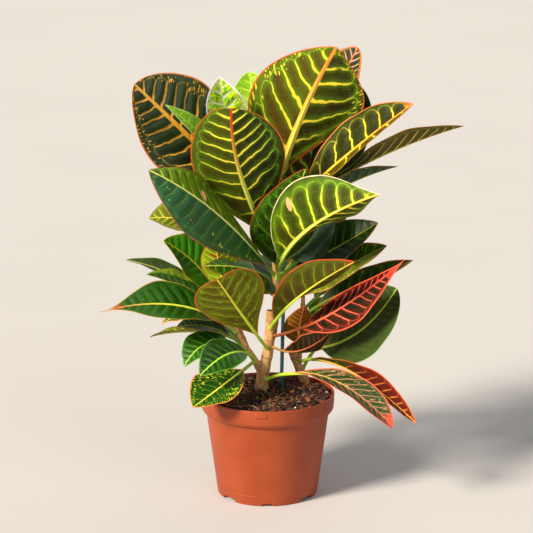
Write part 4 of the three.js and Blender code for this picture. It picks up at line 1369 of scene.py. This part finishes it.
@dataclass
class NurseryPot:
    """The tapered plastic pot with its band, foot ring and small tab."""

    sides: int = 288
    tab_middle: float = -8.0
    tab_width: float = 13.5
    tab_low: float = 122.4
    tab_high: float = 128.2

    def wall(self, z: float | Array) -> float | Array:
        """The outer wall's radius at a height, on a straight taper."""
        return lerp(POT_FOOT_RADIUS, POT_RIM_RADIUS - BAND_STEP, np.asarray(z) / (POT_HEIGHT - BAND_HEIGHT))

    def profile(self) -> Array:
        """Radius and height round the pot's section, from the underside's middle to the inside's.

        Corners are cut by a short curve: each corner becomes five points of a quadratic curve between
        points 0.35 of the way, or up to 1.2 mm, towards its neighbours.
        """
        band = POT_HEIGHT - BAND_HEIGHT
        inner = self.wall(FLOOR_HEIGHT) - POT_WALL
        corners = np.array(
            [
                [0, 0],
                [CENTRE_FOOT_RADIUS, 0],
                [CENTRE_FOOT_RADIUS + 1, FLOOR_HEIGHT - 1.5],
                [POT_FOOT_RADIUS - 5, FLOOR_HEIGHT - 1.5],
                [POT_FOOT_RADIUS - 2.6, 0],
                [POT_FOOT_RADIUS - 0.2, 0],
                [self.wall(6.0), 6.0],
                [self.wall(12.3), 12.3],
                [self.wall(12.8) + 0.4, 12.8],
                [self.wall(13.3), 13.3],
                [self.wall(40), 40],
                [self.wall(70), 70],
                [self.wall(90), 90],
                [self.wall(band) - 0.2, band - 0.6],
                [self.wall(band) + 1.6, band - 0.4],
                [POT_RIM_RADIUS - 3.2, band + 1.2],
                [POT_RIM_RADIUS - 1.2, band + 4.6],
                [POT_RIM_RADIUS - 0.8, band + 10],
                *[[POT_RIM_RADIUS - 0.6, z] for z in (self.tab_low - 0.5, self.tab_low + 0.5)],
                *[[POT_RIM_RADIUS - 0.4, z] for z in (self.tab_high - 0.5, self.tab_high + 0.5)],
                [POT_RIM_RADIUS - 0.3, POT_HEIGHT - 1.4],
                [POT_RIM_RADIUS - 0.6, POT_HEIGHT],
                [POT_RIM_RADIUS - 2.6, POT_HEIGHT],
                [POT_RIM_RADIUS - 4, band + 3],
                [self.wall(band - 3) - POT_WALL, band - 3],
                [self.wall(60) - POT_WALL, 60],
                [inner + 0.3, FLOOR_HEIGHT + 2],
                [inner - 3, FLOOR_HEIGHT + 0.8],
                [0, FLOOR_HEIGHT + 0.8],
            ],
            dtype=float,
        )
        before, corner, after = corners[:-2], corners[1:-1], corners[2:]

        def towards(other: Array) -> Array:
            """The point on the way from each corner to its neighbour where the curve begins."""
            gap = np.linalg.norm(other - corner, axis=1, keepdims=True)
            return corner + (other - corner) * np.minimum(0.35, 1.2 / gap)

        first, last = towards(before), towards(after)
        s = np.linspace(0, 1, 5)[:, None]
        ends = first[:, None] * (1 - s) ** 2 + last[:, None] * s**2
        curve = ends + corner[:, None] * 2 * s * (1 - s)
        return np.concatenate([corners[:1], curve.reshape(-1, 2), corners[-1:]])

    def skin(self) -> Skin:
        """The section turned about Z, with slots lifted in the foot ring and a tab raised on the band."""
        profile = self.profile()[1:-1]
        angle = circle(self.sides)
        radius = np.repeat(profile[:, :1], self.sides, axis=1)
        height = np.repeat(profile[:, 1:], self.sides, axis=1)
        turned = np.degrees(angle) + 90.0
        lift = np.zeros(self.sides)
        slots = [(a, 15.0, 3.0) for a in (0, 90, 180, 270)] + [(a, 24.0, 4.8) for a in (50, 130, 230, 310)]
        for middle, width, depth in slots:
            away = np.abs((turned - middle + 180) % 360 - 180) * np.pi / 180 * POT_FOOT_RADIUS
            lift = np.maximum(lift, depth * (1 - eased(width / 2 - depth * 0.6, width / 2, away)))
        foot = (radius > POT_FOOT_RADIUS - 5.2) & (height < 6)
        height = np.where(foot, np.maximum(height, lift), height)
        x, y = radius * np.cos(angle), radius * np.sin(angle)
        near = 1 - eased(self.tab_width / 2 - 0.3, self.tab_width / 2 + 0.3, np.abs(x - self.tab_middle))
        below_top = 1 - eased(self.tab_high - 0.3, self.tab_high + 0.3, height)
        tall = eased(self.tab_low - 0.3, self.tab_low + 0.3, height) * below_top
        outer = (radius > POT_RIM_RADIUS - 1.3) & (y < 0)
        radius = radius + 1.3 * near * tall * outer
        points = np.stack([radius * np.cos(angle), radius * np.sin(angle), height], axis=-1).reshape(-1, 3)
        points = np.concatenate([points, [[0, 0, 0], [0, 0, FLOOR_HEIGHT + 0.8]]])
        return Skin(points, shell_faces(len(profile), self.sides, False))

    def plastic(self) -> bpy.types.Material:
        """Terracotta-coloured plastic: fine grain, faint clouding and streaks, and a few paler, rubbed
        scuffs.
        """
        paint = Paint("terracotta_plastic")
        cloud = paint.noise(paint.place(), 14.0, 4.0, 0.55)
        grain = paint.noise(paint.place(), 900.0, 3.0, 0.6)
        streak = paint.noise(paint.place((1.0, 1.0, 0.06)), 260.0, 3.0)
        scuff = paint.noise(paint.place((1.0, 1.0, 3.5)), 70.0, 6.0, 0.7)
        colour = paint.mixed(srgb("963f1c"), srgb("a44a25"), paint.eased(0.3, 0.7, cloud))
        colour = paint.mixed(colour, srgb("963f1e"), paint.eased(0.45, 0.75, streak) * 0.12)
        colour = paint.mixed(colour, srgb("c47044"), paint.eased(0.62, 0.8, grain) * 0.3)
        rubbed = paint.eased(0.64, 0.72, scuff)
        colour = paint.mixed(colour, srgb("c87c54"), rubbed * 0.2)
        rough = cloud * 0.12 + grain * 0.1 + rubbed * 0.12 + 0.36
        return paint.finished(
            Base_Color=colour,
            Roughness=rough,
            Normal=paint.bumped(grain + streak * 0.3, 0.00012, 0.6),
            Specular_IOR_Level=0.3,
        )

    def build(self) -> bpy.types.Object:
        """Builds and dresses the pot."""
        return placed(self.skin().built("pot_shell", 40.0), "pot", self.plastic())


# Soil


@dataclass
class PeatSoil:
    """Coarse peat up to just under the rim, with bark pieces, fibres, perlite, seedlings and two straws."""

    chunks: int = 1300
    fibres: int = 260
    grains: int = 24
    shoots: int = 26
    rng: np.random.Generator = field(default_factory=lambda: np.random.default_rng(41))

    def level(self, x: Array, y: Array) -> Array:
        """The height of the soil's top: the heap of the solid with two sizes of lumps on it."""
        radius = np.hypot(x, y)
        heap = SOIL_MOUND * (1 - (radius / POT_RIM_RADIUS) ** 2)
        coarse = 1.1 * np.sin(x * 0.31 + 1) * np.cos(y * 0.27)
        wide = 0.7 * np.sin(x * 0.13 - y * 0.21)
        flat = np.stack([x, y, np.zeros_like(x)], axis=-1)
        fine = 0.8 * ripples(flat, 9.0, 5) + 0.55 * ripples(flat, 4.0, 6, 9)
        return SOIL_LEVEL - 1 + heap + coarse + wide + fine - 2.2 * eased(76.0, 81.0, radius)

    def bed(self) -> Skin:
        """The peat's body: its lumpy top in rings, and a plain side and underside inside the pot."""
        around, rings = 220, 70
        angle = circle(around)
        wall = NurseryPot().wall
        side = np.array(
            [
                [1.0, 7.2],
                [wall(6) - 5.7, 7.2],
                [wall(8) - 2.7, 8.6],
                [wall(105) - 2.7, 105.0],
                [POT_RIM_RADIUS - 4.6, 111.4],
                [POT_RIM_RADIUS - 4.2, 121.0],
            ]
        )
        out, height = side[:, :1], side[:, 1:]
        low = np.stack([out * np.cos(angle), out * np.sin(angle), height + 0 * angle], axis=-1)
        radius = np.linspace(80.6, 0.8, rings)[:, None]
        x, y = radius * np.cos(angle), radius * np.sin(angle)
        top = np.stack([x, y, self.level(x, y)], axis=-1)
        summit = self.level(np.zeros(1), np.zeros(1))[0]
        points = np.concatenate([low, top]).reshape(-1, 3)
        points = np.concatenate([points, [[0, 0, 7.2], [0, 0, summit]]])
        return Skin(points, shell_faces(len(side) + rings, around, False))

    def scattered(self, number: int, outermost: float) -> Array:
        """Random places on the soil's top, as x, y and z."""
        radius = outermost * np.sqrt(self.rng.uniform(0.0, 1.0, number))
        angle = self.rng.uniform(0.0, 2 * np.pi, number)
        x, y = radius * np.cos(angle), radius * np.sin(angle)
        return np.stack([x, y, self.level(x, y)], axis=-1)

    def turned(self, number: int, tilt: float) -> Array:
        """Random axes, three for each piece, that lean up to tilt radians from upright."""
        yaw, pitch, roll = self.rng.uniform(-1, 1, (3, number)) * [[np.pi], [tilt], [tilt]]
        cy, cp, cr = np.cos(yaw), np.cos(pitch), np.cos(roll)
        sy, sp, sr = np.sin(yaw), np.sin(pitch), np.sin(roll)
        rows = [
            [cy * cp, cy * sp * sr - sy * cr, cy * sp * cr + sy * sr],
            [sy * cp, sy * sp * sr + cy * cr, sy * sp * cr - cy * sr],
            [-sp, cp * sr, cp * cr],
        ]
        return np.moveaxis(np.array(rows), -1, 0)

    def crumbs(self, number: int, sizes: Vec, spread: float, outermost: float, rounded: float) -> Skin:
        """Many small lumps in one skin.

        Each starts as a ball of 5 rings of 7 points between two poles. It is stretched along its own axes,
        has every point moved by a random share, and is turned and laid on the soil, about a third sunk in.

        Args:
            number: How many there are.
            sizes: Their usual length, breadth and height.
            spread: How much the sizes vary, as a share.
            outermost: How far from the middle they lie at most.
            rounded: 1 for balls and 0 for rough blocks.

        Returns:
            The skin, with a random value in "tone" for each lump.
        """
        columns, rows = 7, 5
        polar = np.linspace(0.35, np.pi - 0.35, rows)[:, None]
        angle = circle(columns)
        flat = np.sin(polar)
        ball = np.stack([flat * np.cos(angle), flat * np.sin(angle), np.cos(polar) + 0 * angle], axis=-1)
        ball = np.concatenate([ball.reshape(-1, 3), [[0, 0, 1], [0, 0, -1]]])
        ball = np.sign(ball) * np.abs(ball) ** lerp(0.6, 1.0, rounded)
        scale = np.array(sizes) / 2 * self.rng.uniform(1 - spread, 1 + spread, (number, 3))
        scale = scale * self.rng.uniform(0.5, 1.4, (number, 1))
        moved = self.rng.uniform(lerp(0.68, 0.9, rounded), 1.12, (number, len(ball), 1))
        shape = ball[None] * scale[:, None] * moved
        places = self.scattered(number, outermost)
        places[:, 2] += scale[:, 2] * 0.35
        points = np.einsum("nij,nkj->nki", self.turned(number, 0.7), shape) + places[:, None]
        faces = copies(shell_faces(rows, columns, True), number, len(ball))
        tone = np.repeat(self.rng.uniform(0, 1, number), len(ball))
        return Skin(points.reshape(-1, 3), faces, {"tone": tone})

    def threads(self, starts: Array, ends: Array, radius: float, bow: float) -> Skin:
        """Thin five-sided tubes, each on a bowed line from its start to its end.

        Args:
            starts: Where they begin.
            ends: Where they end.
            radius: How thick they are in the middle. Their ends are thinner.
            bow: How far they rise in the middle, as a share of their length.

        Returns:
            The skin, with a random value in "tone" for each thread.
        """
        number, rows, sides = len(starts), 8, 5
        s = np.linspace(0, 1, rows)[None, :, None]
        span = ends - starts
        length = np.linalg.norm(span, axis=1)[:, None, None]
        wander = self.rng.normal(0, 0.12, (number, 1, 3)) * length
        line = starts[:, None] + span[:, None] * s + wander * np.sin(np.pi * s) * [1, 1, 0.2]
        line = line + np.array([0, 0, 1]) * bow * length * np.sin(np.pi * s)
        along = unit(np.gradient(line, axis=1))
        side = unit(np.cross(along, [0.0, 0.0, 1.0]) + 1e-9)
        up = np.cross(side, along)
        angle = circle(sides)[:, None]
        slender = (0.35 + 0.65 * np.sin(np.pi * s))[..., None]
        thick = radius * self.rng.uniform(0.6, 1.3, (number, 1, 1, 1)) * slender
        spoke = side[:, :, None] * np.cos(angle) + up[:, :, None] * np.sin(angle)
        tube = line[:, :, None] + spoke * thick
        points = np.concatenate([tube.reshape(number, -1, 3), line[:, :1], line[:, -1:]], axis=1)
        size = points.shape[1]
        faces = copies(shell_faces(rows, sides, True), number, size)
        tone = np.repeat(self.rng.uniform(0, 1, number), size)
        return Skin(points.reshape(-1, 3), faces, {"tone": tone})

    def fibre_ends(self, number: int, reach: float, outermost: float) -> tuple[Array, Array]:
        """Starts and ends of threads that lie on the soil."""
        starts = self.scattered(number, outermost)
        angle = self.rng.uniform(0, 2 * np.pi, number)
        length = reach * self.rng.uniform(0.4, 1.3, number)
        x, y = starts[:, 0] + length * np.cos(angle), starts[:, 1] + length * np.sin(angle)
        shrink = np.minimum(1.0, outermost / np.maximum(np.hypot(x, y), 1.0))
        x, y = x * shrink, y * shrink
        return starts, np.stack([x, y, self.level(x, y) + 0.4], axis=-1)

    def peat(self) -> bpy.types.Material:
        """Dark, moist, crumbly brown."""
        paint = Paint("peat")
        clods = paint.noise(paint.place(), 220.0, 6.0, 0.68)
        dust = paint.cells(paint.place(), 600.0)
        colour = paint.ramp(clods, {0.35: "080402", 0.52: "20100a", 0.66: "44220e", 0.85: "7c4824"})
        return paint.finished(
            Base_Color=colour,
            Roughness=clods * 0.2 + 0.75,
            Normal=paint.bumped(clods + dust * 0.5, 0.0018, 0.9),
        )

    def bits(self, name: str, tones: dict[float, str], rough: float) -> bpy.types.Material:
        """Small pieces whose colour follows their random tone, with a little grain."""
        paint = Paint(name)
        grain = paint.noise(paint.place((1.0, 1.0, 0.4)), 500.0, 4.0, 0.6)
        colour = paint.ramp(paint.value("tone") * 0.75 + grain * 0.3, tones)
        return paint.finished(
            Base_Color=colour,
            Roughness=grain * 0.2 + rough,
            Normal=paint.bumped(grain, 0.0005, 0.8),
        )

    def build(self) -> list[bpy.types.Object]:
        """Builds and dresses the soil and what lies on it."""
        pieces = [placed(self.bed().built("peat_bed"), "soil", self.peat())]
        bark = self.bits("bark_bits", {0.1: "140804", 0.5: "38190b", 0.78: "6e3818", 0.97: "a8683c"}, 0.7)
        pale = self.bits("fibres", {0.1: "5c3c26", 0.5: "8f6a45", 0.95: "d2b88c"}, 0.7)
        white = self.bits("perlite", {0.1: "cfc8bd", 0.9: "f4f1ea"}, 0.75)
        green = self.bits("seedlings", {0.1: "3f6e22", 0.9: "8fb84a"}, 0.5)
        lumps = self.crumbs(self.chunks, (6.0, 3.4, 2.6), 0.45, 79.0, 0.0)
        lumps = lumps.joined(self.crumbs(self.chunks, (2.6, 2.0, 1.6), 0.4, 79.5, 0.2))
        fibres = self.threads(*self.fibre_ends(self.fibres, 15.0, 78.0), 0.32, 0.12)
        straw = self.threads(
            np.array([[-66.0, -42.0, 131.0], [-44.0, -62.0, 131.6]]),
            np.array([[-42.0, -64.0, 132.2], [-12.0, -78.0, 130.8]]),
            0.8,
            0.03,
        )
        grains = self.crumbs(self.grains, (3.0, 2.6, 2.4), 0.35, 78.0, 1.0)
        starts = self.scattered(self.shoots, 74.0)
        ends = starts + self.rng.normal(0, 1, (self.shoots, 3)) * [2.0, 2.0, 0.5] + [0, 0, 3.5]
        shoots = self.threads(starts, ends, 0.6, 0.1)
        for skin, name, material in (
            (lumps, "bark_pieces", bark),
            (fibres.joined(straw), "peat_fibres", pale),
            (grains, "perlite_grains", white),
            (shoots, "seedling_tips", green),
        ):
            piece = skin.built(name, 40.0)
            piece.data.materials.append(material)
            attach(piece, "root")
            log.info("%s: %d faces", name, len(piece.data.polygons))
            pieces.append(piece)
        return pieces


# Cane


CANE_LINE = Stem(2, [(14.5, 4.6, CANE_FOOT, 2.3), (17.5, 5.3, 140, 2.3), (20, 6, 254, 2.3)])


@dataclass
class SupportCane:
    """The thin plastic-coated cane beside the trunk."""

    line: Stem = field(default_factory=lambda: CANE_LINE)
    radius: float = 2.3
    knob_spacing: float = 9.0

    def skin(self) -> Skin:
        """A tube with low rings every 9 mm and a domed top."""
        rows, around = 260, 24
        t = np.linspace(0.0, 1.0, rows)
        centre, along = self.line.at(t), self.line.tangent(t)
        height = (centre[:, 2] - CANE_FOOT) / self.knob_spacing
        knob = np.exp(-(((height % 1.0 - 0.5) / 0.09) ** 2))
        radius = self.radius + 0.22 * knob
        bend = np.linspace(0.2, 1.45, 5)
        closing, lifts = np.cos(bend) * self.radius, np.sin(bend) * 1.4 - 1.5
        spoke = spokes(*self.line.axes(t), circle(around))
        tube = centre[:, None] + spoke * radius[:, None, None]
        cap = centre[-1] + along[-1] * lifts[:, None, None] + spoke[-1] * closing[:, None, None]
        points = np.concatenate([tube[:-2], cap]).reshape(-1, 3)
        points = np.concatenate([points, [centre[0], centre[-1]]])
        return Skin(points, shell_faces(rows + 3, around, True))

    def coating(self) -> bpy.types.Material:
        """Dark teal-green plastic with fine lengthwise grain and paler clouds."""
        paint = Paint("cane_coating")
        grain = paint.noise(paint.place((1.0, 1.0, 0.1)), 900.0, 4.0, 0.6)
        cloud = paint.noise(paint.place(), 60.0, 3.0)
        colour = paint.mixed(srgb("0f3540"), srgb("1d5560"), paint.eased(0.3, 0.7, grain))
        colour = paint.mixed(colour, srgb("3c6a78"), paint.eased(0.55, 0.8, cloud) * 0.4)
        return paint.finished(
            Base_Color=colour,
            Roughness=grain * 0.2 + 0.3,
            Normal=paint.bumped(grain, 0.0002, 0.6),
        )

    def build(self) -> bpy.types.Object:
        """Builds and dresses the cane."""
        return placed(self.skin().built("cane_rod"), "cane", self.coating())


# Studio


@dataclass
class Studio:
    """A pale floor, soft lights and the camera.

    Args:
        pitch: How far the camera looks down, in degrees.
        distance: How far it is from its target.
        target: What it looks at.
        focal_pixels: Its focal length, in pixels of the photo.
        picture_pixels: The photo's width.
    """

    pitch: float = 14.0
    distance: float = 2600.0
    target: Vec = (-1.4, 0.0, 294.0)
    focal_pixels: float = 2085.0
    picture_pixels: float = 533.0

    def floor(self) -> bpy.types.Object:
        """A round, flat floor, wide enough to fill the picture from any side."""
        sides = 96
        angle = circle(sides)
        ring = np.stack([np.cos(angle), np.sin(angle), 0 * angle], axis=-1)
        points = np.concatenate([ring * 60000, ring * 3000, [[0, 0, 0]]])
        faces = [grid_faces(2, sides), fan(sides, 2 * sides, sides, True)]
        sheet = Skin(points, faces).built("studio_floor", 60.0)
        paint = Paint("studio_paper")
        cloud = paint.noise(paint.place(), 1.5, 3.0)
        colour = paint.mixed(srgb("c4c2be"), srgb("cccac6"), cloud)
        sheet.data.materials.append(paint.finished(Base_Color=colour, Roughness=0.9))
        return sheet

    def lamp(self, name: str, heading: Vec, power: float, spread: float, tint: str) -> None:
        """Adds a soft distant light.

        Args:
            name: The light's name.
            heading: Where it stands, seen from the plant.
            power: Its strength in watts per square metre.
            spread: How large it looks, as an angle in degrees.
            tint: The code of its colour.
        """
        light = bpy.data.lights.new(name, "SUN")
        light.energy = power
        light.angle = np.radians(spread)
        light.color = srgb(tint)[:3]
        lamp = bpy.data.objects.new(name, light)
        flat = np.hypot(heading[0], heading[1])
        lamp.rotation_euler = (np.arctan2(flat, heading[2]), 0.0, np.arctan2(heading[0], -heading[1]))
        bpy.context.scene.collection.objects.link(lamp)

    def camera(self) -> None:
        """Adds the camera: 14 degrees above the horizon, 2.6 m away, with the photo's angle of view."""
        lens = bpy.data.cameras.new("camera")
        lens.sensor_width = 36.0
        lens.lens = self.focal_pixels / self.picture_pixels * lens.sensor_width
        lens.clip_end = 50.0
        view = bpy.data.objects.new("camera", lens)
        lean = np.radians(self.pitch)
        away = np.array([0.0, -np.cos(lean), np.sin(lean)]) * self.distance
        view.location = (np.array(self.target) + away) * MM
        view.rotation_euler = (np.pi / 2 - lean, 0.0, 0.0)
        bpy.context.scene.collection.objects.link(view)
        bpy.context.scene.camera = view

    def build(self) -> None:
        """Sets up floor, sky, lights and camera."""
        self.floor()
        self.camera()
        self.lamp("window", (-0.9, -0.72, 0.78), 5.8, 16.0, "fff4e6")
        self.lamp("fill", (0.56, -0.7, 0.55), 0.6, 45.0, "e8eeff")
        self.lamp("rim", (0.3, 1.0, 0.9), 0.5, 60.0, "fff8ee")
        world = bpy.data.worlds.new("studio")
        world.use_nodes = True
        sky = world.node_tree.nodes["Background"]
        sky.inputs["Color"].default_value = srgb("d8d8dc")
        sky.inputs["Strength"].default_value = 0.36
        bpy.context.scene.world = world
        bpy.context.scene.view_settings.view_transform = "Standard"


def main() -> None:
    logging.basicConfig(level=logging.INFO, format="%(name)s %(message)s")
    Studio().build()
    NurseryPot().build()
    PeatSoil().build()
    SupportCane().build()
    WoodyStems().build()
    pieces = Leaves().build()
    log.info("leaves: %d", len(pieces))
    bpy.context.view_layer.update()


if __name__ == "__main__":
    main()
